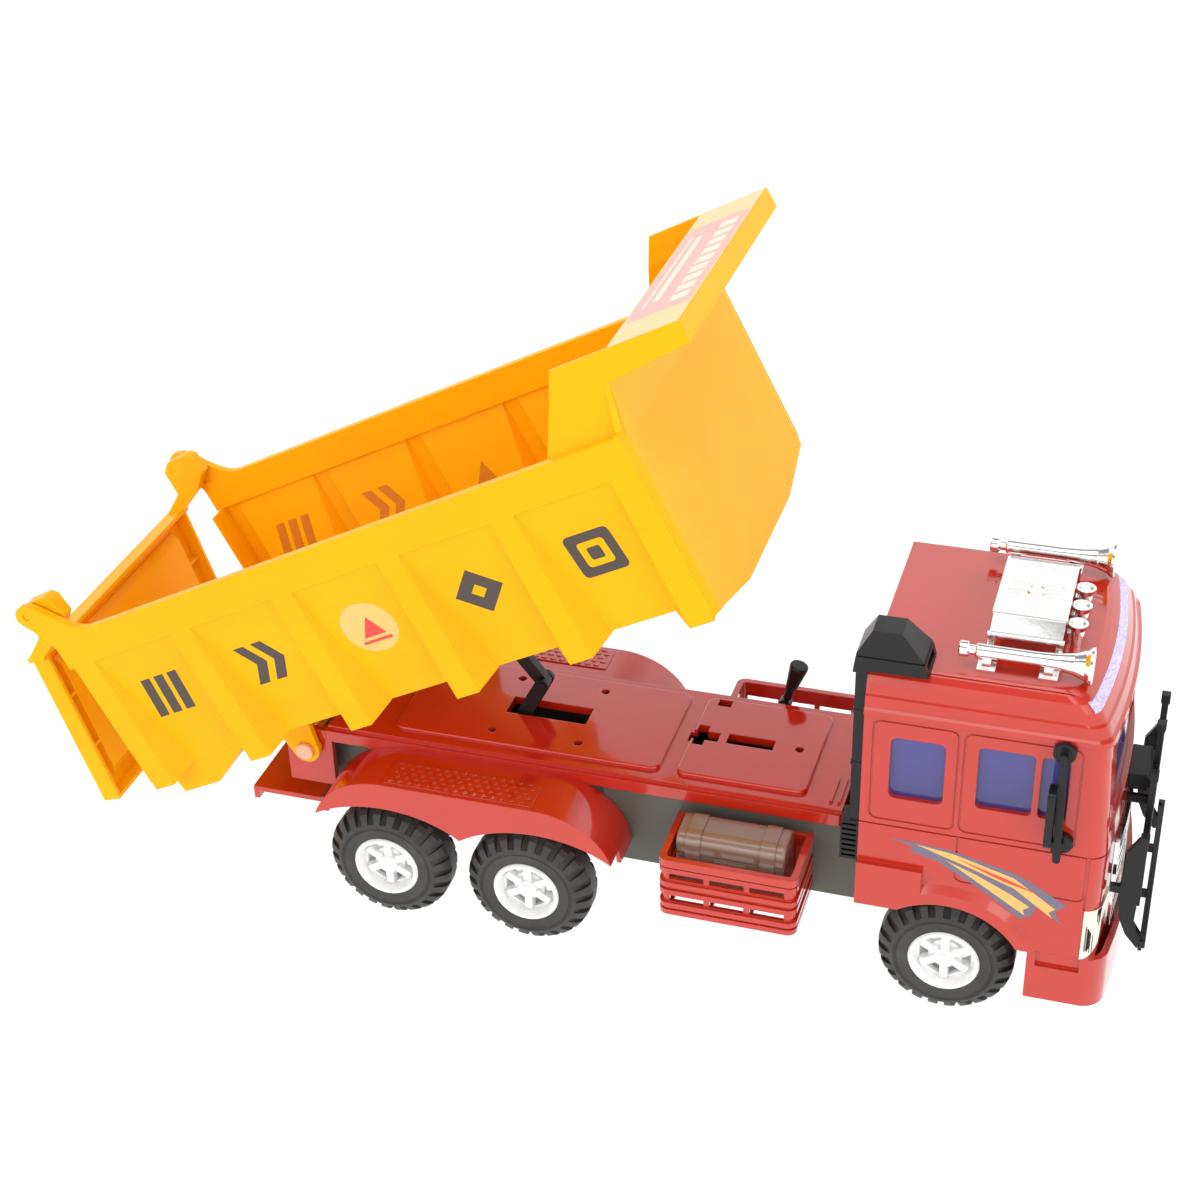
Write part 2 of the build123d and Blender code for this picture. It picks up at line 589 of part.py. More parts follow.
def snorkel_head():
    """Faceted intake head on top of the pipe, over the roof corner."""
    side = side_prism(
        [(132.4, 206), (133.6, 216), (140.4, 227.6), (154.4, 227.6), (166.4, 215), (168.4, CAB_TOP + 0.8),
         (146, CAB_TOP + 0.8), (146, CAB_TOP + 0.3), (CAB_REAR, CAB_TOP + 0.3), (CAB_REAR, 206)],
        -68.0, -44.0,
    )
    front = front_prism(
        [(-68, 200), (-68, 212), (-63, 229), (-49, 229), (-44, 212), (-44, 200)], 120, 170
    )
    groove = block(131, 170, -72, -40, 214.4, 215.2)
    core = block(134.8, 164.4, -66.4, -45.6, 200, 230)
    return (side & front) - (groove - core) - block(158, 171, -64, -48, 209, 213)


# ---- bright roof fittings -----------------------------------------------
def horn(y):
    """Trumpet horn lying along the roof on two feet, mouth forwards."""
    z = 216.4
    profile = [
        (179.5, 0.0), (179.5, 3.2), (180.1, 3.8), (183.6, 3.8), (184.2, 3.2), (184.6, 2.4),
        (187.2, 2.4), (187.6, 3.2), (188.2, 3.6), (192.0, 3.4), (216.0, 3.4), (226.0, 4.0),
        (233.0, 5.2), (238.4, 7.2), (240.6, 9.0), (241.8, 9.2), (242.2, 8.6), (239.6, 6.6),
        (234.6, 4.4), (229.6, 3.2), (229.6, 0.0),
    ]
    body = revolve(Plane.XY * Polygon(*profile, align=None), Axis.X)
    trumpet = Pos(0, y, z) * body
    feet = []
    for x in (193.0, 222.0):
        feet.append(block(x - 2.2, x + 2.2, y - 2.6, y + 2.6, CAB_TOP, z - 1))
        feet.append(block(x - 4.4, x + 4.4, y - 4.0, y + 4.0, CAB_TOP, CAB_TOP + 1.6))
    return trumpet + feet


def roof_unit():
    """Bright intake box between the horns, with three short stacks at its front."""
    x0, x1, half, top = 191.0, 226.4, 25.5, 224.0
    mid = (x0 + x1) / 2
    sheet = block(x0, x1, -half, half, top - 2.0, top)
    slopes = front_prism(
        [(-36.0, 217.0), (-36.0, 218.6), (1 - half, top - 0.6), (half - 1, top - 0.6),
         (36.0, 218.6), (36.0, 217.0), (half, 220.0), (-half, 220.0)], x0 + 0.6, x1 - 0.6,
    )
    unit = sheet + slopes + block(x0 + 4, x1 - 4, 5 - half, half - 5, CAB_TOP, 221.0)
    for side in (-1, 1):
        unit += rod_x(x0 - 0.4, x1 + 0.4, side * 36.0, 217.6, 1.5)
        for x in (x0 + 1.6, x1 - 1.6):
            leg = front_prism([(side * 35.0, 217.6), (side * 37.4, 217.6), (side * 39.6, CAB_TOP),
                               (side * 36.4, CAB_TOP)][::side], x - 1.6, x + 1.6)
            unit += leg
    unit -= block(x0 + 2.4, x1 - 2.4, 3.0 - half, half - 3.0, top - 0.7, top + 1)
    floor = top - 0.8
    for side in (-1, 1):
        for gap in (2.2, 5.4):
            unit += block(x0 + 4, mid - 4, side * gap - 0.45, side * gap + 0.45, floor, top)
            unit += block(mid + 4, x1 - 4, side * gap - 0.45, side * gap + 0.45, floor, top)
            unit += block(mid + side * gap - 0.45, mid + side * gap + 0.45, 5 - half, -5, floor, top)
            unit += block(mid + side * gap - 0.45, mid + side * gap + 0.45, 5, half - 5, floor, top)
    unit += rod_z(mid, 0, 5.0, floor, top) - rod_z(mid, 0, 3.6, top - 0.5, top + 1)
    for y in (-16.6, 0.2, 17.0):
        unit += rod_z(231.0, y, 3.8, CAB_TOP, 215.0)
        unit += Pos(231.0, y, 216.6) * Cone(3.8, 5.0, 3.2) - rod_z(231.0, y, 3.6, 216.8, 219)
        unit += block(221.0, 231.0, y - 2.0, y + 2.0, CAB_TOP, 213.0)
    return unit


def visor_strip():
    """Lilac marker strip let into the crown above the windscreen."""
    return strip_band(0.75)


# ---- bed, drawn in its own frame ----------------------------------------
def rib_centres():
    return [RIB_FIRST + RIB_PITCH * i for i in range(6)]


def wall_path(depth, shrink, recess):
    """Corrugated line along a bed side: x and distance from the centre plane."""
    out = BED_HALF_W - depth
    low = out - recess
    run = RIB_RUN * recess / RECESS
    points = []
    centres = rib_centres()
    for i, c in enumerate(centres):
        half = RIB_HALF - shrink
        if i > 0:
            points += [(c - half - run, low), (c - half, out)]
        else:
            points += [(BED_REAR + shrink, out)]
        if i < len(centres) - 1:
            points += [(c + half, out), (c + half + run, low)]
        else:
            points += [(BED_FRONT - shrink, out)]
    return points


def wall_section(z, recess):
    """Section of the right side wall at one height."""
    outer = [(x, -y) for x, y in wall_path(0.0, 0.0, recess)]
    inner = [(x, -y) for x, y in wall_path(WALL, WALL, recess)]
    return Pos(0, 0, z) * Polygon(*outer, *inner[::-1], align=None)


def bed_side():
    """Right side wall: panels leaning inwards between upright ribs, under a flat rim band."""
    wall = loft([wall_section(PANEL_BOTTOM, RECESS), wall_section(BAND_BOTTOM, RECESS_TOP)], ruled=True)
    ends = [
        plan_prism([(BED_REAR, -BED_HALF_W), (BED_REAR + WALL, -BED_HALF_W),
                    (BED_REAR + WALL, -74.0), (BED_REAR, -74.0)], PANEL_BOTTOM, BAND_BOTTOM),
    ]
    for c in rib_centres():
        x0 = max(c - RIB_HALF - RIB_RUN, BED_REAR)
        x1 = min(c + RIB_HALF + RIB_RUN, BED_FRONT)
        xa = max(c - RIB_HALF, BED_REAR)
        xb = min(c + RIB_HALF, BED_FRONT)
        low = BED_HALF_W - RECESS
        plug = plan_prism([(x0, -low + 2), (x0, -low), (xa, -BED_HALF_W), (xb, -BED_HALF_W),
                           (x1, -low), (x1, -low + 2)], RIB_BOTTOM, PANEL_BOTTOM + 2.4)
        wedge = front_prism([(-BED_HALF_W - 1, RIB_BOTTOM - 1), (-low + 3, RIB_BOTTOM - 1),
                             (-low + 3, RIB_BOTTOM + 4.4)], x0 - 1, x1 + 1)
        ends.append(plug - Pos(0, 0, 0.8) * wedge)
    band = block(BED_REAR - 3.0, BED_FRONT, -BED_HALF_W, RIM_W - BED_HALF_W, BAND_BOTTOM - 0.4, RIM_TOP)
    return wall + ends + band


def ear():
    """Lug that rises from the rim at the rear corner and carries the tailgate hinge."""
    hx, hz = GATE_HINGE
    boss_r = 6.2
    foot = RIM_TOP - 5.5
    rise = Spline(
        (-40.0, RIM_TOP), (-50.0, 128.2), (-58.0, 135.6), (hx + 5.0, hz + 5.2),
        tangents=((-1.0, 0.05), (-0.7, 0.6)),
    )
    rest = Polyline(
        (hx + 5.0, hz + 5.2), (hx, hz + boss_r - 0.2), (hx - 4.6, hz - 4.0), (hx + 1.0, hz - 11.8),
        (BED_REAR - 3.0, foot), (-40.0, foot), (-40.0, RIM_TOP),
    )
    face = make_face(rise.edges() + rest.edges())
    upright = Plane((0, -EAR_Y[1], 0), x_dir=(1, 0, 0), z_dir=(0, -1, 0)) * face
    plate = extrude(upright, amount=EAR_Y[1] - EAR_Y[0], dir=(0, 1, 0))
    boss = rod_y(hx, hz, boss_r, -EAR_Y[1], -EAR_Y[0])
    return plate + boss - rod_y(hx, hz, 2.05, -100, -70)


def bed_floor():
    """Shallow hull floor with a stiffening beam under its rear end."""
    low = BED_HALF_W - RECESS
    outer = [(-low, PANEL_BOTTOM), (-43.0, FLOOR_Z), (43.0, FLOOR_Z), (low, PANEL_BOTTOM)]
    inner = [(y, z + WALL) for y, z in outer]
    hull = front_prism(outer + inner[::-1], BED_REAR, BED_FRONT)
    half = low - 0.2
    beam = side_prism([(-62.0, 29.0), (-60.0, 12.0), (-35.0, 12.0), (-6.0, 29.0)], -half, half)
    cavity = side_prism([(-59.0, 40.0), (-57.6, 14.4), (-36.0, 14.4), (-8.0, 31.0), (-8.0, 40.0)],
                        2.4 - half, half - 2.4)
    below = front_prism([(-low, PANEL_BOTTOM), (-43.0, FLOOR_Z), (43.0, FLOOR_Z),
                         (low, PANEL_BOTTOM), (low, 0), (-low, 0)], -80, 10)
    return hull + ((beam - cavity) & below)


def bed_front_wall():
    """Front wall with a hull bottom, bevelled side edges and a facet above the crease."""
    half = BED_HALF_W
    low = RIB_BOTTOM + 2.2
    bottom = 17.8
    sill = [(-half, low), (-82.0, low - 0.4), (-42.5, bottom), (42.5, bottom), (82.0, low - 0.4), (half, low)]
    face = front_prism(sill + [(half, CREASE_Z), (-half, CREASE_Z)], BED_FRONT - 8, FRONT_WALL + 2)
    plan = plan_prism(
        [(BED_FRONT - 2.8, -half), (BED_FRONT - 0.6, -half), (FRONT_WALL, -85.0), (FRONT_WALL, 85.0),
         (BED_FRONT - 0.6, half), (BED_FRONT - 2.8, half)], 0, CREASE_Z,
    )
    facet = loft([facet_section(CREASE_Z, half - 1.6, FRONT_WALL), facet_section(148.4, CANOPY_HALF_W, 291.0)])
    return (face & plan) + facet


def facet_section(z, half, front):
    """Thin strip across the bed at one height, under the canopy."""
    return Pos(0, 0, z) * rounded_rect(front - 3.2, front, -half, half, 0.4)


def canopy():
    """Cab guard: two wings leaning inwards and a sloping top plate with a deep front lip."""
    wide = 86.4
    half = CANOPY_HALF_W
    low = RIM_TOP - 3.0
    outline = [
        (244.4, low), (266.5, 162.3), (334.9, 162.7), (335.4, 151.7), (291.1, 147.4),
        (288.0, low),
    ]
    room = [
        (240.0, 100.0), (240.0, 170.0), (296.6, 170.0), (296.6, 160.3), (332.9, 160.5),
        (333.1, 153.6), (291.0, 149.6), (287.6, 149.4), (285.0, low), (285.0, 100.0),
    ]
    section = [(-wide, low), (wide, low), (half, 148.0), (half, 170.0), (-half, 170.0), (-half, 148.0)]
    inside = [(WALL - wide, 100.0), (wide - WALL, 100.0), (wide - WALL, low), (half - WALL, 148.0),
              (half - WALL, 180.0), (WALL - half, 180.0), (WALL - half, 148.0), (WALL - wide, low)]
    solid = side_prism(outline, -wide, wide) & front_prism(section, 230, 340)
    hollow = side_prism(room, -wide, wide) & front_prism(inside, 230, 340)
    return solid - hollow


def pivot_lug():
    """Right hinge lug under the floor."""
    plate = side_prism([(-8.0, 0.0), (8.0, 0.0), (13.0, 24.0), (-11.0, 24.0)], -45.0, -41.0)
    plate += rod_y(0, 0, 8.0, -45.0, -41.0)
    return plate - rod_y(0, 0, PIN_R + 0.05, -60, -30)


def lift_lugs():
    """Pair of cheeks glued under the floor that hold the head of the lift strut."""
    x, z = STRUT_TOP_BED
    cheeks = []
    for y0, y1 in ((-5.6, -3.1), (3.1, 5.6)):
        cheek = side_prism([(x - 5.0, z), (x + 5.0, z), (x + 9.0, FLOOR_Z),
                            (x - 9.0, FLOOR_Z)], y0, y1)
        cheek += rod_y(x, z, 5.0, y0, y1)
        cheeks.append(cheek - rod_y(x, z, 1.6, y0 - 1, y1 + 1))
    return cheeks


def bed():
    low = BED_HALF_W - RECESS
    tub = bed_floor() + bed_side() + mirrored(bed_side()) + bed_front_wall() + canopy()
    tub += ear()
    tub += mirrored(ear())
    tub += pivot_lug()
    tub += mirrored(pivot_lug())
    corner = block(BED_REAR, BED_REAR + WALL, -low - 2, 2 - low, PANEL_BOTTOM - 2, BAND_BOTTOM)
    return tub + corner + mirrored(corner)


def strut_rivets():
    """Two rivets that fill the holes of the lift cheeks."""
    x, z = STRUT_TOP_BED
    rivets = []
    for side in (-1, 1):
        y0, y1 = sorted((side * 3.1, side * 6.2))
        rivet = rod_y(x, z, 1.6, y0, y1)
        y0, y1 = sorted((side * 5.6, side * 6.6))
        rivets.append(rivet + rod_y(x, z, 2.6, y0, y1))
    return rivets


# ---- tailgate, drawn in the bed's frame ---------------------------------
def gate_edge(distance, along):
    """Point at a distance behind the gate's outer face and along it from the top."""
    dx = GATE_BOTTOM[0] - GATE_TOP[0]
    dz = GATE_BOTTOM[1] - GATE_TOP[1]
    length = math.hypot(dx, dz)
    ux, uz = dx / length, dz / length
    return (GATE_TOP[0] + ux * along - uz * distance, GATE_TOP[1] + uz * along + ux * distance)


def gate():
    """Tailgate: flat panel with a deep flange all round and stiffening ribs inside."""
    length = math.dist(GATE_TOP, GATE_BOTTOM)
    half = GATE_HALF_W
    outline = [gate_edge(0, 0), gate_edge(GATE_DEPTH, 0), gate_edge(GATE_DEPTH, length),
               gate_edge(0, length)]
    panel = side_prism(outline, -half, half)
    pocket = [gate_edge(WALL, WALL), gate_edge(GATE_DEPTH + 2, WALL),
              gate_edge(GATE_DEPTH + 2, length - WALL), gate_edge(WALL, length - WALL)]
    panel -= side_prism(pocket, WALL - half, half - WALL)
    field = [gate_edge(3.0, 9.0), gate_edge(6.2, 14.0), gate_edge(6.2, length - 14.0),
             gate_edge(3.0, length - 9.0)]
    field += [gate_edge(1.0, length - 9.0), gate_edge(1.0, 9.0)]
    raised = side_prism(field, -half + 12, half - 12)
    hollow = [gate_edge(-1.0, 11.0), gate_edge(4.2, 16.0), gate_edge(4.2, length - 16.0),
              gate_edge(-1.0, length - 11.0)]
    panel += raised
    panel -= side_prism(hollow, -half + 14.4, half - 14.4)
    for along in (length / 3, 2 * length / 3):
        for side in (-1, 1):
            rib = [gate_edge(1.0, along - 0.8), gate_edge(6.0, along - 0.8),
                   gate_edge(6.0, along + 0.8), gate_edge(1.0, along + 0.8)]
            y0, y1 = sorted((side * (half - 1), side * (half - 13)))
            panel += side_prism(rib, y0, y1)
    hx, hz = GATE_HINGE
    for side in (-1, 1):
        y0, y1 = sorted((side * GATE_TAB_Y[0], side * GATE_TAB_Y[1]))
        tab = side_prism(
            [gate_edge(0, 1.0), (-79.4, 126.5), (-79.4, hz), (-74.0, hz + 5.0), (-60.5, hz + 5.2),
             (-57.3, hz + 2.8), (-56.0, 133.0), (-66.0, 124.0), gate_edge(GATE_DEPTH, 1.0)], y0, y1)
        panel += tab
        y0, y1 = sorted((side * (half - 1), side * GATE_TAB_Y[1]))
        root = [gate_edge(0, 0), gate_edge(GATE_DEPTH, 0), gate_edge(GATE_DEPTH, WALL + 0.6),
                gate_edge(0, WALL + 0.6)]
        panel += side_prism(root, y0, y1)
        panel -= rod_y(hx, hz, 2.0, side * 81.0 - 8, side * 81.0 + 8)
    return panel


def gate_pins():
    hx, hz = GATE_HINGE
    pins = []
    for side in (-1, 1):
        y0, y1 = sorted((side * GATE_TAB_Y[0], side * (EAR_Y[1] - 0.6)))
        pins.append(rod_y(hx, hz, 2.0, y0, y1))
    return pins


# ---- lift and lever -----------------------------------------------------
def lift_arm():
    """Lower arm: round base on its shaft, slotted from just above it up to the elbow."""
    reach = (ELBOW[0] - ARM_BASE[0], ELBOW[1] - ARM_BASE[1])
    arm = bar_between(ARM_BASE, ELBOW, 4.0, -5.6, 5.6)
    arm += rod_y(*ARM_BASE, 5.0, -5.6, 5.6)
    start = (ARM_BASE[0] + 0.34 * reach[0], ARM_BASE[1] + 0.34 * reach[1])
    end = (ARM_BASE[0] + 1.3 * reach[0], ARM_BASE[1] + 1.3 * reach[1])
    arm -= bar_between(start, end, 6.0, -3.0, 3.0)
    arm -= rod_y(*ARM_BASE, 2.0, -10, 10)
    return arm - rod_y(*ELBOW, 1.6, -10, 10)


def arm_shaft():
    return rod_y(*ARM_BASE, 2.0, -RAIL_HALF_W - 0.5, RAIL_HALF_W + 0.5)


def elbow_pin():
    pin = rod_y(*ELBOW, 1.6, -6.2, 6.2)
    return pin + rod_y(*ELBOW, 2.6, -6.6, -5.6) + rod_y(*ELBOW, 2.6, 5.6, 6.6)


def lift_strut():
    """Upper strut from the elbow to the cheeks under the bed."""
    top = bed_point(*STRUT_TOP_BED)
    strut = bar_between(ELBOW, top, 3.6, -2.7, 2.7)
    strut -= rod_y(*ELBOW, 1.65, -10, 10)
    return strut - rod_y(*top, 1.6, -10, 10)


def lever_shaft():
    x, z = LEVER_PIVOT
    return rod_y(x, z, 2.0, 38.0, LEVER_Y + 1.5)


def lever_frame(shape):
    """Place a shape drawn upright at the origin on the lever's pivot."""
    x, z = LEVER_PIVOT
    return Pos(x, LEVER_Y, z) * Rot(0, LEVER_LEAN, 0) * shape


def lever_stem():
    stem = rod_y(0, 0, 3.6, -3.0, 3.0) + rod_z(0, 0, 1.7, 0, 14.0)
    stem += rod_z(0, 0, 2.4, 4.0, 9.0)
    return lever_frame(stem - rod_y(0, 0, 2.0, -9, 9))


def lever_knob():
    knob = Pos(0, 0, 17.8) * Cone(3.0, 5.2, 16.0)
    knob += Pos(0, 0, 25.8) * Cylinder(5.2, 1.6, align=(Align.CENTER, Align.CENTER, Align.MIN))
    knob = fillet(knob.edges().group_by(Axis.Z)[-1], 1.0)
    return lever_frame(knob - rod_z(0, 0, 1.7, 0, 14.0))


def bed_pin():
    """Pale cross pin that joins the deck cheeks and the bed lugs."""
    x, z = BED_PIVOT
    pin = rod_y(x, z, PIN_R, -47.6, 47.6)
    return pin + rod_y(x, z, PIN_R + 0.9, 45.4, 47.6) + rod_y(x, z, PIN_R + 0.9, -47.6, -45.4)


# ---- write every node ---------------------------------------------------
wheel_set()
save("chassis", chassis())
save("deck", deck())
save("deck_screws", *deck_screws())
save("rear_step", rear_step())
fender_shape = fender()
save("rear_fender_right", fender_shape)
save("rear_fender_left", mirrored(fender_shape))
crate_shape = crate()
save("side_crate_right", crate_shape)
save("side_crate_left", mirrored(crate_shape))
save("toolbox", toolbox())
cab = cab_shell()
save("cab_upper", cab_upper(cab))
save("cab_lower", cab_lower(cab))
save("cab_glazing", glazing())
save("front_bumper", bumper())
save("headlight_right", headlight())
save("headlight_left", mirrored(headlight()))
save("front_grille", grille())
save("bull_bar", bull_bar())
save("mirror_right", mirror_unit())
save("mirror_left", mirrored(mirror_unit()))
save("snorkel_pipe", snorkel_pipe())
save("snorkel_head", snorkel_head())
save("horn_right", horn(-50.0))
save("horn_left", horn(50.0))
save("roof_intake", roof_unit())
save("visor_strip", visor_strip())
save("bed_pin", bed_pin())
save("bed_tub", in_bed(bed()))
save("lift_bracket", *[in_bed(cheek) for cheek in lift_lugs()])
save("strut_rivets", *[in_bed(rivet) for rivet in strut_rivets()])
save("tailgate", in_bed(gate()))
save("tailgate_pins", *[in_bed(pin) for pin in gate_pins()])
save("lift_arm", lift_arm())
save("lift_arm_shaft", arm_shaft())
save("elbow_pin", elbow_pin())
save("lift_strut", lift_strut())
save("lever_shaft", lever_shaft())
save("lever_stem", lever_stem())
save("lever_knob", lever_knob())
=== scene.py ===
import json
import math

import bmesh
import bpy
from mathutils import Matrix, Vector


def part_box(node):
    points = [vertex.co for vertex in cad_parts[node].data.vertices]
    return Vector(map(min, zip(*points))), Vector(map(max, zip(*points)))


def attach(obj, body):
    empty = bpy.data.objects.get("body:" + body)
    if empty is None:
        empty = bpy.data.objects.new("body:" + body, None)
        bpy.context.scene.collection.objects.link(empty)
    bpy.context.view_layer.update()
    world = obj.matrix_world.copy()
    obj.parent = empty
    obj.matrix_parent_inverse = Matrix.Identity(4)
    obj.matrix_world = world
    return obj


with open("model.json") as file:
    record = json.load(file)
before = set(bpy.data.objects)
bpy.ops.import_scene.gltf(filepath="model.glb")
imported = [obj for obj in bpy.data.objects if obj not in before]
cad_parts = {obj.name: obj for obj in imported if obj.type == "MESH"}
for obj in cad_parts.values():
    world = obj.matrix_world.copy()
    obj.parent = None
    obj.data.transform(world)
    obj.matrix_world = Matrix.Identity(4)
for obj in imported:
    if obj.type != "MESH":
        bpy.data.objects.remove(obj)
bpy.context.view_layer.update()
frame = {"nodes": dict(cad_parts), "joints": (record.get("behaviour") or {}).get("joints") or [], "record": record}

MM = 0.001
SMOOTH_ANGLE = math.radians(24.0)

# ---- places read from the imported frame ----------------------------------
# The bed is drawn tipped up. Marks on it are laid out in its own frame: forwards along the
# floor, up from the pivot, in millimetres.
BED_TILT = math.radians(27.17)
JOINTS = {joint["name"]: joint for joint in frame["joints"]}
PIVOT = Vector(JOINTS["bed_tilt"]["pos_m"])

axle_low, axle_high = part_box("axle_front")
FRONT_AXLE = (axle_low + axle_high) / 2
cab_low, cab_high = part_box("cab_lower")

SIDES = ((-1, "right"), (1, "left"))    # sign of y, and the word in the pieces' names
FORWARD = Vector((1.0, 0.0, 0.0))
LEFTWARD = Vector((0.0, 1.0, 0.0))
UPWARD = Vector((0.0, 0.0, 1.0))

# ---- camera --------------------------------------------------------------
CAM_AZIMUTH = math.radians(18.0695)
CAM_ELEVATION = math.radians(31.8162)
CAM_ROLL = math.radians(-1.6014)
CAM_DISTANCE = 1.1220
LENS = 64.36
SENSOR_WIDTH = 36.0
FAR_CLIP = 50.0
AIM_BEHIND_AXLE = 0.19957
AIM_HEIGHT = 0.18156


# ---- node materials -------------------------------------------------------
MOULDED_EDGE = 0.7 * MM         # radius that softens the edges of moulded plastic
CHROME_EDGE = 0.5 * MM
BEVEL_SAMPLES = 4
PRINT_ROUGHNESS = 0.38


def new_material(name):
    """A node material, with its tree and its main shader."""
    material = bpy.data.materials.new(name)
    material.use_nodes = True
    tree = material.node_tree
    return material, tree, tree.nodes["Principled BSDF"]


def set_sockets(shader, values):
    for name, value in values.items():
        shader.inputs[name].default_value = value


def noise(tree, scale, detail=4.0, roughness=0.55):
    """Noise fixed to the piece, from 0 to 1."""
    coordinates = tree.nodes.new("ShaderNodeTexCoord")
    texture = tree.nodes.new("ShaderNodeTexNoise")
    texture.inputs["Scale"].default_value = scale
    texture.inputs["Detail"].default_value = detail
    texture.inputs["Roughness"].default_value = roughness
    tree.links.new(coordinates.outputs["Object"], texture.inputs["Vector"])
    return texture.outputs["Fac"]


def ramp(tree, factor, stops):
    """Colours by factor; each stop is a position and a colour."""
    node = tree.nodes.new("ShaderNodeValToRGB")
    while len(node.color_ramp.elements) < len(stops):
        node.color_ramp.elements.new(0.5)
    for element, (position, colour) in zip(node.color_ramp.elements, stops):
        element.position = position
        element.color = (*colour, 1.0)
    tree.links.new(factor, node.inputs["Fac"])
    return node.outputs["Color"]


def span(tree, factor, low, high):
    """A factor stretched to run from low to high."""
    node = tree.nodes.new("ShaderNodeMapRange")
    node.inputs["To Min"].default_value = low
    node.inputs["To Max"].default_value = high
    tree.links.new(factor, node.inputs["Value"])
    return node.outputs["Result"]


def shade(colour, share):
    """A colour made darker or lighter by a share."""
    return tuple(min(1.0, channel * share) for channel in colour)


def soften(tree, shader, height, strength, distance, edge):
    """Rounded edges, with a fine surface bump on top."""
    bump = tree.nodes.new("ShaderNodeBump")
    bump.inputs["Strength"].default_value = strength
    bump.inputs["Distance"].default_value = distance
    tree.links.new(height, bump.inputs["Height"])
    if edge:
        bevel = tree.nodes.new("ShaderNodeBevel")
        bevel.samples = BEVEL_SAMPLES
        bevel.inputs["Radius"].default_value = edge
        tree.links.new(bevel.outputs["Normal"], bump.inputs["Normal"])
    tree.links.new(bump.outputs["Normal"], shader.inputs["Normal"])


def moulded(name, colour, gloss=(0.16, 0.28), ripple=0.05, **sockets):
    """Injection-moulded plastic: slow colour drift, uneven gloss and a slightly wavy skin."""
    material, tree, shader = new_material(name)
    drift = noise(tree, 14.0)
    stops = [(0.25, shade(colour, 0.93)), (0.75, shade(colour, 1.05))]
    tree.links.new(ramp(tree, drift, stops), shader.inputs["Base Color"])
    tree.links.new(span(tree, noise(tree, 60.0), *gloss), shader.inputs["Roughness"])
    soften(tree, shader, noise(tree, 220.0, 2.0), ripple, 0.1 * MM, MOULDED_EDGE)
    set_sockets(shader, sockets)
    return material


def bright_chrome(name, colour):
    """Vacuum-plated plastic: mirror-like, with a faint orange-peel waviness."""
    material, tree, shader = new_material(name)
    drift = noise(tree, 30.0)
    stops = [(0.3, shade(colour, 0.92)), (0.7, colour)]
    tree.links.new(ramp(tree, drift, stops), shader.inputs["Base Color"])
    tree.links.new(span(tree, noise(tree, 90.0), 0.05, 0.14), shader.inputs["Roughness"])
    soften(tree, shader, noise(tree, 160.0, 2.0), 0.08, 0.2 * MM, CHROME_EDGE)
    set_sockets(shader, {"Metallic": 1.0})
    return material


def rubber(name):
    """Dull black rubber with pale dust in its grain."""
    material, tree, shader = new_material(name)
    dust = noise(tree, 55.0, 8.0, 0.7)
    stops = [(0.35, (0.020, 0.020, 0.019)), (0.8, (0.065, 0.060, 0.052))]
    tree.links.new(ramp(tree, dust, stops), shader.inputs["Base Color"])
    tree.links.new(span(tree, dust, 0.38, 0.62), shader.inputs["Roughness"])
    soften(tree, shader, noise(tree, 500.0, 3.0), 0.2, 0.1 * MM, 0.5 * MM)
    return material


def tinted_window(name):
    """Blue tinted clear moulding, paler towards its top edge."""
    material, tree, shader = new_material(name)
    coordinates = tree.nodes.new("ShaderNodeTexCoord")
    split = tree.nodes.new("ShaderNodeSeparateXYZ")
    tree.links.new(coordinates.outputs["Object"], split.inputs["Vector"])
    height = tree.nodes.new("ShaderNodeMapRange")
    low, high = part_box("cab_glazing")
    height.inputs["From Min"].default_value = low.z
    height.inputs["From Max"].default_value = high.z
    tree.links.new(split.outputs["Z"], height.inputs["Value"])
    stops = [(0.1, (0.045, 0.04, 0.19)), (0.9, (0.075, 0.065, 0.30))]
    tree.links.new(ramp(tree, height.outputs["Result"], stops), shader.inputs["Base Color"])
    tree.links.new(span(tree, noise(tree, 40.0), 0.08, 0.16), shader.inputs["Roughness"])
    soften(tree, shader, noise(tree, 25.0, 1.0), 0.05, 0.3 * MM, 0.0)
    set_sockets(shader, {"Transmission Weight": 0.15, "IOR": 1.5, "Coat Weight": 0.5,
                         "Coat Roughness": 0.04})
    return material


def foil(name, low, high):
    """Printed foil with a speckled glitter."""
    material, tree, shader = new_material(name)
    speckle = noise(tree, 900.0, 3.0, 0.8)
    tree.links.new(ramp(tree, speckle, [(0.35, low), (0.65, high)]), shader.inputs["Base Color"])
    tree.links.new(span(tree, speckle, 0.2, 0.45), shader.inputs["Roughness"])
    soften(tree, shader, speckle, 0.15, 0.05 * MM, 0.0)
    set_sockets(shader, {"Metallic": 0.35})
    return material


def printed(name, colour):
    """Sticker ink: even colour with a fine paper grain."""
    material, tree, shader = new_material(name)
    grain = noise(tree, 400.0, 3.0)
    stops = [(0.3, shade(colour, 0.94)), (0.7, shade(colour, 1.04))]
    tree.links.new(ramp(tree, grain, stops), shader.inputs["Base Color"])
    roughness = span(tree, grain, PRINT_ROUGHNESS - 0.05, PRINT_ROUGHNESS + 0.08)
    tree.links.new(roughness, shader.inputs["Roughness"])
    soften(tree, shader, grain, 0.06, 0.05 * MM, 0.0)
    return material


def steel(name):
    """Bare steel with a fine brushed grain."""
    material, tree, shader = new_material(name)
    brushed = noise(tree, 350.0, 2.0)
    stops = [(0.3, (0.42, 0.42, 0.43)), (0.7, (0.62, 0.62, 0.63))]
    tree.links.new(ramp(tree, brushed, stops), shader.inputs["Base Color"])
    tree.links.new(span(tree, brushed, 0.22, 0.4), shader.inputs["Roughness"])
    soften(tree, shader, brushed, 0.1, 0.05 * MM, 0.3 * MM)
    set_sockets(shader, {"Metallic": 1.0})
    return material


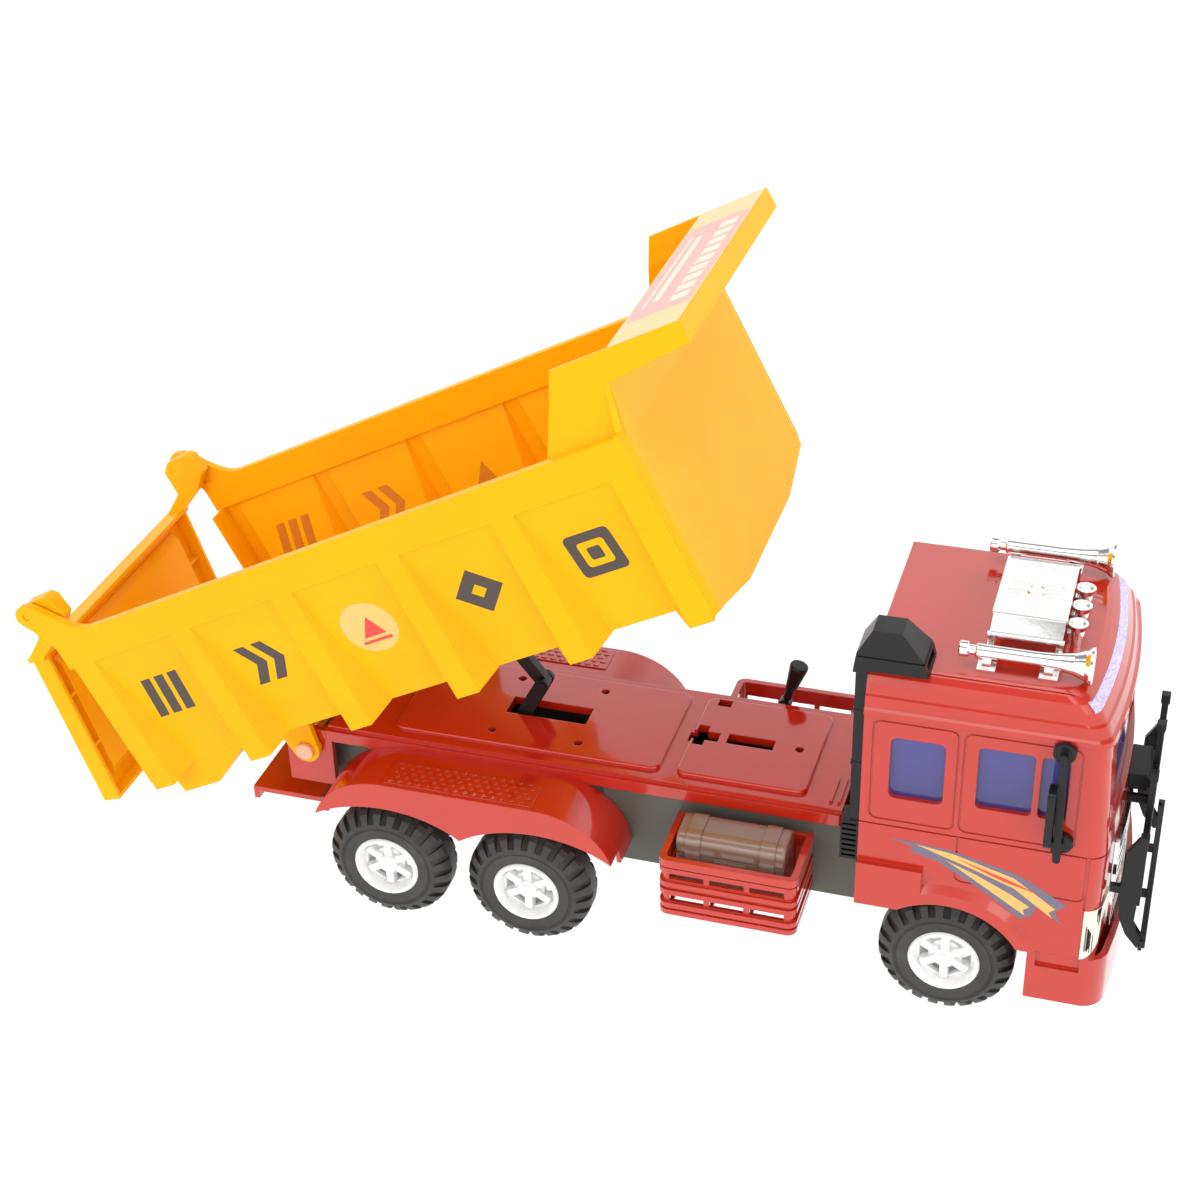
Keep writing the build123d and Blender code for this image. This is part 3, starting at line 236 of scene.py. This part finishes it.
def yellow_plastic(name):
    """Thin yellow plastic that lets some light through."""
    return moulded(
        name, (0.93, 0.44, 0.002), gloss=(0.30, 0.42), ripple=0.04,
        **{"Subsurface Weight": 0.25, "Subsurface Radius": (1.0, 0.30, 0.01),
           "Subsurface Scale": 5.0 * MM, "IOR": 1.22},
    )


MATERIALS = {
    "red_plastic": moulded("red_moulding", (0.52, 0.020, 0.006), gloss=(0.10, 0.20),
                           **{"Coat Weight": 0.7, "Coat Roughness": 0.05}),
    "black_plastic": moulded("black_moulding", (0.007, 0.007, 0.008), gloss=(0.26, 0.40),
                             **{"Specular IOR Level": 0.35}),
    "yellow_plastic": yellow_plastic("yellow_moulding"),
    "pale_plastic": moulded("white_moulding", (0.90, 0.90, 0.89), gloss=(0.22, 0.34)),
    "tyre_rubber": rubber("tyre_rubber"),
    "bright_chrome": bright_chrome("plated_chrome", (0.86, 0.86, 0.84)),
    "blue_tint": tinted_window("blue_window"),
    "brown_plastic": moulded(
        "smoky_brown", (0.27, 0.165, 0.115), gloss=(0.12, 0.22),
        **{"Coat Weight": 0.6, "Coat Roughness": 0.08, "Transmission Weight": 0.12, "IOR": 1.49}),
    "lilac_foil": foil("lilac_foil", (0.42, 0.33, 0.66), (0.86, 0.80, 0.92)),
    "steel": steel("bright_steel"),
}
LAMP = bright_chrome("lamp_plating", (0.93, 0.89, 0.74))
DARK_PRINT = printed("dark_print", (0.060, 0.042, 0.036))
DISC_PRINT = printed("pale_disc_print", (0.92, 0.50, 0.14))
RED_PRINT = printed("red_print", (0.78, 0.055, 0.035))
PEACH_PRINT = printed("peach_print", (0.95, 0.60, 0.28))
PINK_PRINT = printed("pink_print", (0.88, 0.40, 0.36))
STRIPE_PRINT = printed("pale_stripe_print", (0.94, 0.72, 0.56))
# painted shade: darker orange for the outer marks seen through the translucent bed wall
PAINTED_SHADE_MATERIAL = printed("show_through", (0.62, 0.20, 0.006))
GREY_PRINT = printed("grey_blue_print", (0.16, 0.14, 0.20))
SWOOSH_PRINT = printed("swoosh_print", (0.80, 0.46, 0.13))
CHASSIS_PLASTIC = moulded("grey_black_moulding", (0.085, 0.082, 0.066), gloss=(0.3, 0.45))
DARK_STEEL = bright_chrome("blackened_screws", (0.10, 0.06, 0.05))
PIVOT_PLASTIC = moulded("pale_peach_pin", (0.90, 0.46, 0.30), gloss=(0.25, 0.35))


def smooth_group():
    """Modifier that shades a mesh smooth, with its sharp corners kept."""
    group = bpy.data.node_groups.new("smooth_by_angle", "GeometryNodeTree")
    group.interface.new_socket("Geometry", in_out="INPUT", socket_type="NodeSocketGeometry")
    group.interface.new_socket("Geometry", in_out="OUTPUT", socket_type="NodeSocketGeometry")
    source = group.nodes.new("NodeGroupInput")
    result = group.nodes.new("NodeGroupOutput")
    angle = group.nodes.new("GeometryNodeInputMeshEdgeAngle")
    sharp = group.nodes.new("FunctionNodeCompare")
    sharp.operation = "GREATER_THAN"
    sharp.inputs["B"].default_value = SMOOTH_ANGLE
    faces = group.nodes.new("GeometryNodeSetShadeSmooth")
    edges = group.nodes.new("GeometryNodeSetShadeSmooth")
    edges.domain = "EDGE"
    edges.inputs["Shade Smooth"].default_value = False
    links = group.links
    links.new(source.outputs[0], faces.inputs["Geometry"])
    links.new(faces.outputs["Geometry"], edges.inputs["Geometry"])
    links.new(angle.outputs["Unsigned Angle"], sharp.inputs["A"])
    links.new(sharp.outputs["Result"], edges.inputs["Selection"])
    links.new(edges.outputs["Geometry"], result.inputs[0])
    return group


def finish_cad_nodes():
    """Give every carried-over CAD node the procedural material of its slot."""
    smoothing = smooth_group()
    special = {"headlight_right": LAMP, "headlight_left": LAMP, "bed_pin": PIVOT_PLASTIC,
               "deck_screws": DARK_STEEL, "chassis": CHASSIS_PLASTIC}
    for subpart in frame["record"]["subparts"]:
        node = subpart["node"]
        material = special.get(node, MATERIALS[subpart["material_slot"]])
        shell = frame["nodes"][node]
        shell.data.materials.clear()
        shell.data.materials.append(material)
        modifier = shell.modifiers.new("smooth_by_angle", "NODES")
        modifier.node_group = smoothing


# ---- flat prints and raised patterns ---------------------------------------
CIRCLE_POINTS = 48
CORNER_STEPS = 6


def plane_matrix(origin, across, up):
    """Frame of a flat face: across and up lie in it, and its normal points outwards."""
    normal = across.cross(up)
    matrix = Matrix((across, up, normal)).transposed().to_4x4()
    matrix.translation = origin
    return matrix


def bed_point(x, y, z):
    """A point given in the bed's own frame in millimetres."""
    sine, cosine = math.sin(BED_TILT), math.cos(BED_TILT)
    return PIVOT + Vector((x * cosine - z * sine, y, x * sine + z * cosine)) * MM


BED_FORWARD = Vector((math.cos(BED_TILT), 0.0, math.sin(BED_TILT)))
BED_UP = Vector((-math.sin(BED_TILT), 0.0, math.cos(BED_TILT)))


def across_face(side, forward):
    """Across direction on a side face, as read from outside the truck."""
    return forward * -side


def curve_mesh(name, outlines, thickness):
    """Closed outlines in millimetres, filled with holes kept, extruded to a thin plate."""
    curve = bpy.data.curves.new(name + "_outline", "CURVE")
    curve.dimensions = "2D"
    curve.fill_mode = "BOTH"
    curve.extrude = thickness * MM / 2
    for outline in outlines:
        spline = curve.splines.new("POLY")
        spline.points.add(len(outline) - 1)
        for point, (x, y) in zip(spline.points, outline):
            point.co = (x * MM, y * MM, 0.0, 1.0)
        spline.use_cyclic_u = True
    holder = bpy.data.objects.new(name + "_outline", curve)
    bpy.context.scene.collection.objects.link(holder)
    bpy.context.view_layer.update()
    filled = holder.evaluated_get(bpy.context.evaluated_depsgraph_get())
    mesh = bpy.data.meshes.new_from_object(filled)
    bpy.data.objects.remove(holder)
    bpy.data.curves.remove(curve)
    mesh.name = name
    return mesh


def close_mesh(name, bm):
    """Turn a finished bmesh into a mesh."""
    mesh = bpy.data.meshes.new(name)
    bm.to_mesh(mesh)
    bm.free()
    return mesh


def add_piece(name, mesh, material, body):
    """A visible piece that rides a body."""
    mesh.materials.clear()
    mesh.materials.append(material)
    piece = bpy.data.objects.new(name, mesh)
    bpy.context.scene.collection.objects.link(piece)
    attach(piece, body)
    return piece


def plate(name, outlines, matrix, material, body, thickness=0.16):
    """A thin printed plate standing on the face that the matrix describes."""
    mesh = curve_mesh(name, outlines, thickness)
    mesh.transform(matrix @ Matrix.Translation((0.0, 0.0, thickness * MM / 2)))
    return add_piece(name, mesh, material, body)


def lifted(face, height):
    """A face raised by a height in millimetres."""
    return face @ Matrix.Translation((0.0, 0.0, height * MM))


def circle(radius):
    turns = [2 * math.pi * i / CIRCLE_POINTS for i in range(CIRCLE_POINTS)]
    return [(radius * math.cos(turn), radius * math.sin(turn)) for turn in turns]


def rectangle(x0, x1, y0, y1):
    return [(x0, y0), (x1, y0), (x1, y1), (x0, y1)]


def rounded(x0, x1, y0, y1, radius):
    """Rectangle with round corners."""
    corners = ((x1 - radius, y1 - radius, 0), (x0 + radius, y1 - radius, 1),
               (x0 + radius, y0 + radius, 2), (x1 - radius, y0 + radius, 3))
    points = []
    for cx, cy, quarter in corners:
        for step in range(CORNER_STEPS + 1):
            turn = math.pi / 2 * (quarter + step / CORNER_STEPS)
            points.append((cx + radius * math.cos(turn), cy + radius * math.sin(turn)))
    return points


# ---- marks on the bed's side panels -----------------------------------------
PANELS = 5
DISC_PANEL = 2
RIB_FIRST = -58.0
RIB_PITCH = 67.3
BED_HALF_W = 90.8
WALL = 2.2
PANEL_FOOT = (29.0, 13.0)       # height and depth of a side panel's recess
PANEL_HEAD = (106.2, 1.0)
MARK_BACK = 0.8                 # the marks sit this far behind a panel's middle
MARK_Z = 73.0
MARK_W = 25.0
MARK_H = 25.0
BAR_STEP = 9.2
CHEVRON_ARM = 6.6
CHEVRON_POINT = 7.0
DISC_R = 15.5
DISC_THICK = 0.12
EMBLEM_THICK = 0.1
PAINTED_SHADE_THICK = 0.08             # painted shade: darker shapes inside, where the outer marks show through the wall


def panel_y(z):
    """Distance of a side panel's outer face from the middle of the bed at one height."""
    share = (z - PANEL_FOOT[0]) / (PANEL_HEAD[0] - PANEL_FOOT[0])
    return BED_HALF_W - PANEL_FOOT[1] - (PANEL_HEAD[1] - PANEL_FOOT[1]) * share


def slanted_bars():
    """Three bars that lean forwards."""
    half_w, half_h = MARK_W / 2, MARK_H / 2
    bars = []
    for i in range(3):
        left = i * BAR_STEP - half_w
        bars.append([(left - 2.5, -half_h), (left + 3.6, -half_h),
                     (left + 8.6, half_h), (left + 2.5, half_h)])
    return bars


def chevrons():
    """Two chevrons that point across the panel."""
    half_h = MARK_H / 2
    marks = []
    for left in (-13.0, -1.5):
        arm = left + CHEVRON_ARM
        marks.append([(left, half_h), (arm, half_h), (arm + CHEVRON_POINT, 0.0), (arm, -half_h),
                      (left, -half_h), (left + CHEVRON_POINT, 0.0)])
    return marks


def slotted_diamond():
    """A diamond with a small diamond cut out of it."""
    half_w, half_h = MARK_W / 2 + 1.5, MARK_H / 2 + 1.0
    diamond = [(-half_w, 0.0), (0.0, -half_h), (half_w, 0.0), (0.0, half_h)]
    slot = [(-4.6, 0.0), (0.0, -4.4), (4.6, 0.0), (0.0, 4.4)]
    return [diamond, slot]


def ringed_square():
    """A rounded square frame around a small square."""
    half_w, half_h = MARK_W / 2, MARK_H / 2
    return [rounded(-half_w, half_w, -half_h, half_h, 3.0), rounded(-7.4, 7.4, -7.4, 7.4, 2.0),
            rounded(-3.6, 3.6, -3.6, 3.6, 1.2)]


def red_triangle():
    """A triangle over a line."""
    triangle = [(-6.5, -5.6), (7.0, -5.6), (1.6, 6.4)]
    return [triangle, rectangle(-8.8, 8.8, -9.4, -7.6)]


def bed_marks():
    """Plain marks on every side panel, with a fainter darker-orange copy of each inside the bed: painted shade
    where the outer mark shows through the wall.
    """
    marks = {0: slanted_bars(), 1: chevrons(), DISC_PANEL: red_triangle(), 3: slotted_diamond(),
             4: ringed_square()}
    lean = (panel_y(PANEL_HEAD[0]) - panel_y(PANEL_FOOT[0])) / (PANEL_HEAD[0] - PANEL_FOOT[0])
    for side, word in SIDES:
        across = across_face(side, BED_FORWARD)
        up = (BED_UP + Vector((0.0, side * lean, 0.0))).normalized()
        for panel in range(PANELS):
            x = RIB_FIRST + RIB_PITCH * (panel + 0.5) - MARK_BACK
            y = panel_y(MARK_Z)
            outside = plane_matrix(bed_point(x, side * y, MARK_Z), across, up)
            inside = plane_matrix(bed_point(x, side * (y - WALL), MARK_Z), -across, up)
            if panel == DISC_PANEL:
                plate(f"panel_disc_{word}", [circle(DISC_R)], outside, DISC_PRINT,
                      "bed", DISC_THICK)
                plate(f"panel_emblem_{word}", marks[panel], lifted(outside, DISC_THICK), RED_PRINT,
                      "bed", EMBLEM_THICK)
                shadow = f"inner_emblem_{word}"
            else:
                plate(f"panel_mark_{panel + 1}_{word}", marks[panel], outside, DARK_PRINT,
                      "bed")
                shadow = f"inner_mark_{panel + 1}_{word}"
            # painted shade: a darker copy of the mark on the inner face of the wall
            plate(shadow, marks[panel], inside, PAINTED_SHADE_MATERIAL, "bed", PAINTED_SHADE_THICK)


# ---- sticker on the bed's cab guard ------------------------------------------
GUARD_X = (297.0, 334.2)        # the sticker's ends along the guard
GUARD_SLOPE = ((266.5, 162.3), (334.9, 162.7))      # two points on the guard's top face
STICKER_HALF_W = 80.8
STICKER_THICK = 0.1
PINK_HALF_W = 57.0
PINK_THICK = 0.06
STRIPE_THICK = 0.05
BLOCKS = 9
BLOCK_START = -49.0
BLOCK_STEP = 11.2
BLOCK_W = 7.4


def canopy_sticker():
    """Striped sticker on the cab guard: a pale sheet, a pink panel and rows of plain bars."""
    (back_x, back_z), (front_x, front_z) = GUARD_SLOPE
    rise = (front_z - back_z) / (front_x - back_x)
    forward = (BED_FORWARD + BED_UP * rise).normalized()
    middle = sum(GUARD_X) / 2
    height = back_z + (middle - back_x) * rise
    face = plane_matrix(bed_point(middle, 0.0, height), forward, LEFTWARD)
    half = (GUARD_X[1] - GUARD_X[0]) / 2
    sheet = rounded(-half, half, -STICKER_HALF_W, STICKER_HALF_W, 1.5)
    plate("guard_sticker", [sheet], face, PEACH_PRINT, "bed", STICKER_THICK)
    pink = rounded(1.0 - half, half - 1.2, -PINK_HALF_W, PINK_HALF_W, 4.0)
    plate("guard_sticker_panel", [pink], lifted(face, STICKER_THICK), PINK_PRINT,
          "bed", PINK_THICK)
    bars = []
    for i in range(BLOCKS):
        start = BLOCK_START + i * BLOCK_STEP
        bars.append(rectangle(3.5, 13.5, start, start + BLOCK_W))
    bars.append(rectangle(-8.0, -4.5, -40.0, 40.0))
    bars.append(rectangle(-12.5, -11.0, -44.0, 44.0))
    plate("guard_sticker_bars", bars, lifted(face, STICKER_THICK + PINK_THICK), STRIPE_PRINT,
          "bed", STRIPE_THICK)


# ---- door prints -------------------------------------------------------------
SWOOSH_X = (16.0, 104.0)        # from the back of the cab
SWOOSH_DROP = (7.0, 37.0)       # below the top of the cab's lower half
PRINT_LAYER = 0.08


def door_side():
    """Distance of the doors' outer face from the middle of the truck."""
    above, ahead = cab_high.z + 20 * MM, cab_low.x + 90 * MM
    corners = [vertex.co for vertex in frame["nodes"]["cab_upper"].data.vertices]
    return max(abs(corner.y) for corner in corners if corner.z < above and corner.x < ahead)


def door_prints():
    """Forked two-tone swoosh across each door, under the window line."""
    back, front = (cab_low.x + distance * MM for distance in SWOOSH_X)
    top, bottom = (cab_high.z - distance * MM for distance in SWOOSH_DROP)
    length, drop = (front - back) / MM, (top - bottom) / MM
    outer = [(0.0, 0.0), (30.0, -2.0), (64.0, -10.0), (length, 6.0 - drop), (length - 5.0, -drop + 1.0),
             (length - 1.5, -drop - 6.0), (74.0, -26.5), (72.0, -34.0), (66.0, -37.0), (48.0, -24.0),
             (24.0, -10.0), (10.0, -6.5), (12.0, -3.6)]
    inner = [(13.0, -1.6), (32.0, -4.0), (62.0, -12.6), (length - 5.0, 2.6 - drop), (length - 8.0, -drop),
             (length - 6.0, -drop - 3.4), (62.0, -18.6), (40.0, -10.6), (24.0, -5.4)]
    tail = [(28.0, -8.4), (44.0, -14.6), (60.0, -22.4), (70.5, -28.6), (67.5, -31.0), (68.5, -34.4),
            (52.0, -23.6), (38.0, -14.6)]
    streak = [(34.0, -6.4), (58.0, -13.6), (76.0, -20.4), (56.0, -15.2)]
    layers = (("outline", [outer], GREY_PRINT, "black_plastic"),
              ("gold", [inner, tail], SWOOSH_PRINT, "yellow_plastic"),
              ("streak", [streak], RED_PRINT, "red_plastic"))
    wall = door_side()
    for side, word in SIDES:
        face = plane_matrix(Vector((back, side * wall, top)), across_face(side, FORWARD), UPWARD)
        for level, (label, shapes, material, slot) in enumerate(layers):
            placed = [[(x * -side, y) for x, y in shape] for shape in shapes]
            plate(f"door_print_{label}_{word}", placed, lifted(face, level * PRINT_LAYER), material,
                  "truck", PRINT_LAYER)


# ---- raised tread pattern on the rear guards ------------------------------------
PAD_MARGIN = (42.0, 44.6)       # from each end of a rear guard to its tread pad
PAD_BORDER = 3.0
PAD_FROM_OUTSIDE = 12.65
STUD_PITCH = (5.2, 3.9)
STUD_HALF = (2.2, 1.6)
STUD_HEIGHT = 0.5
STUD_CROWN = 0.45               # size of a stud's top over its foot
STUD_ROWS = 5


def add_stud(bm, x, y, top):
    """One raised diamond with sloping sides, in millimetres on a face at height top."""
    half_x, half_y = STUD_HALF
    corners = ((-half_x, 0), (0, -half_y), (half_x, 0), (0, half_y))
    base = [bm.verts.new(((x + dx) * MM, (y + dy) * MM, top)) for dx, dy in corners]
    crown = [bm.verts.new(((x + dx * STUD_CROWN) * MM, (y + dy * STUD_CROWN) * MM,
                           top + STUD_HEIGHT * MM)) for dx, dy in corners]
    bm.faces.new(crown)
    bm.faces.new(base[::-1])
    for i in range(4):
        j = (i + 1) % 4
        bm.faces.new((base[i], base[j], crown[j], crown[i]))


def tread_pads():
    """Rows of small raised diamonds on the pad of each rear guard."""
    pitch_x, pitch_y = STUD_PITCH
    for side, word in SIDES:
        low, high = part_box(f"rear_fender_{word}")
        outside = max(abs(low.y), abs(high.y)) / MM
        start_x = low.x / MM + PAD_MARGIN[0] + PAD_BORDER
        end_x = high.x / MM - PAD_MARGIN[1] - PAD_BORDER
        bm = bmesh.new()
        for row in range(STUD_ROWS):
            y = side * (outside - PAD_FROM_OUTSIDE) + (row - STUD_ROWS // 2) * pitch_y
            x = start_x + (pitch_x / 2 if row % 2 else 0.0)
            while x < end_x:
                add_stud(bm, x, y, high.z)
                x += pitch_x
        mesh = close_mesh(f"tread_pad_{word}", bm)
        add_piece(f"tread_pad_{word}", mesh, MATERIALS["red_plastic"], "truck")


# ---- lamps ---------------------------------------------------------------------
LOUVRES = 4
LOUVRE_START = 1.9
LOUVRE_PITCH = 1.1
LOUVRE_W = 0.4
LOUVRE_DEPTH = (0.25, 1.0)      # below the lamp's outer face
LOUVRE_FOOT = 5.2
LOUVRE_TOP = 20.6
LOUVRE_DROP = 1.6               # each louvre is this much shorter than the last
BOX_FACES = ((0, 1, 3, 2), (4, 6, 7, 5), (0, 4, 5, 1), (2, 3, 7, 6), (0, 2, 6, 4), (1, 5, 7, 3))


def lamp_louvres():
    """Black louvre marks in the slots of each headlight."""
    for side, word in SIDES:
        low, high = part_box(f"headlight_{word}")
        outer = high.y if side > 0 else low.y
        bm = bmesh.new()
        for i in range(LOUVRES):
            x = low.x + (LOUVRE_START + i * LOUVRE_PITCH) * MM
            heights = (low.z + LOUVRE_FOOT * MM, low.z + (LOUVRE_TOP - i * LOUVRE_DROP) * MM)
            corners = [bm.verts.new((x + dx, outer - side * depth * MM, z))
                       for dx in (0.0, LOUVRE_W * MM) for depth in LOUVRE_DEPTH for z in heights]
            for quad in BOX_FACES:
                bm.faces.new([corners[k] for k in quad])
        bmesh.ops.recalc_face_normals(bm, faces=bm.faces)
        mesh = close_mesh(f"lamp_louvres_{word}", bm)
        add_piece(f"lamp_louvres_{word}", mesh, MATERIALS["black_plastic"], "truck")


# ---- floor, light and camera ------------------------------------------------------
FLOOR_HALF = 9.0
FLOOR_GLOW = 0.95
SKY_STOPS = [(0.0, (0.95, 0.95, 0.95)), (0.55, (1.0, 1.0, 1.0)), (0.68, (0.22, 0.22, 0.23)),
             (1.0, (0.34, 0.34, 0.35))]
SKY_STRENGTH = 1.35
LIGHT_AIM = (0.0, 0.0, 0.12)
SOFTBOXES = (                   # name, place, size and power
    ("top_softbox", (-0.1, -0.2, 1.7), (1.5, 1.1), 11.0),
    ("front_softbox", (1.25, -0.9, 0.95), (1.1, 0.9), 5.0),
    ("side_softbox", (-0.7, -1.6, 0.8), (1.3, 0.8), 5.0),
)


def floor():
    """White sweep that the truck stands on."""
    half = FLOOR_HALF
    mesh = bpy.data.meshes.new("studio_floor")
    mesh.from_pydata([(-half, -half, 0), (half, -half, 0), (half, half, 0), (-half, half, 0)], [],
                     [(0, 1, 2, 3)])
    piece = bpy.data.objects.new("studio_floor", mesh)
    bpy.context.scene.collection.objects.link(piece)
    material, tree, shader = new_material("white_sweep")
    tone = ramp(tree, noise(tree, 2.0), [(0.2, (0.24, 0.24, 0.24)), (0.8, (0.27, 0.27, 0.27))])
    tree.links.new(tone, shader.inputs["Base Color"])
    set_sockets(shader, {"Roughness": 0.6, "Specular IOR Level": 0.15,
                         "Emission Color": (1.0, 1.0, 1.0, 1.0), "Emission Strength": FLOOR_GLOW})
    mesh.materials.append(material)


def soft_light(name, place, size, power):
    """A rectangular softbox turned towards the truck."""
    light = bpy.data.lights.new(name, "AREA")
    light.shape = "RECTANGLE"
    light.size, light.size_y = size
    light.energy = power
    lamp = bpy.data.objects.new(name, light)
    bpy.context.scene.collection.objects.link(lamp)
    lamp.location = place
    direction = Vector(LIGHT_AIM) - Vector(place)
    lamp.rotation_euler = direction.to_track_quat("-Z", "Y").to_euler()


def studio():
    """Bright sky that dims overhead, and three softboxes."""
    world = bpy.data.worlds.new("studio")
    world.use_nodes = True
    tree = world.node_tree
    coordinates = tree.nodes.new("ShaderNodeTexCoord")
    split = tree.nodes.new("ShaderNodeSeparateXYZ")
    tree.links.new(coordinates.outputs["Generated"], split.inputs["Vector"])
    background = tree.nodes["Background"]
    tree.links.new(ramp(tree, split.outputs["Z"], SKY_STOPS), background.inputs["Color"])
    background.inputs["Strength"].default_value = SKY_STRENGTH
    scene = bpy.context.scene
    scene.world = world
    scene.view_settings.view_transform = "Standard"
    for name, place, size, power in SOFTBOXES:
        soft_light(name, place, size, power)


def camera():
    """Camera that looks down on the truck from its right front."""
    data = bpy.data.cameras.new("camera")
    data.lens = LENS
    data.sensor_width = SENSOR_WIDTH
    data.clip_end = FAR_CLIP
    eye = bpy.data.objects.new("camera", data)
    bpy.context.scene.collection.objects.link(eye)
    aim = Vector((FRONT_AXLE.x - AIM_BEHIND_AXLE, 0.0, AIM_HEIGHT))
    back = Vector((math.sin(CAM_AZIMUTH) * math.cos(CAM_ELEVATION),
                   -math.cos(CAM_AZIMUTH) * math.cos(CAM_ELEVATION), math.sin(CAM_ELEVATION)))
    right = (-back).cross(UPWARD).normalized()
    up = right.cross(-back)
    rolled_right = right * math.cos(CAM_ROLL) + up * math.sin(CAM_ROLL)
    rolled_up = up * math.cos(CAM_ROLL) - right * math.sin(CAM_ROLL)
    turn = Matrix((rolled_right, rolled_up, back)).transposed().to_4x4()
    turn.translation = aim + back * CAM_DISTANCE
    eye.matrix_world = turn
    bpy.context.scene.camera = eye


camera()
studio()
floor()
finish_cad_nodes()
bed_marks()
canopy_sticker()
door_prints()
tread_pads()
lamp_louvres()
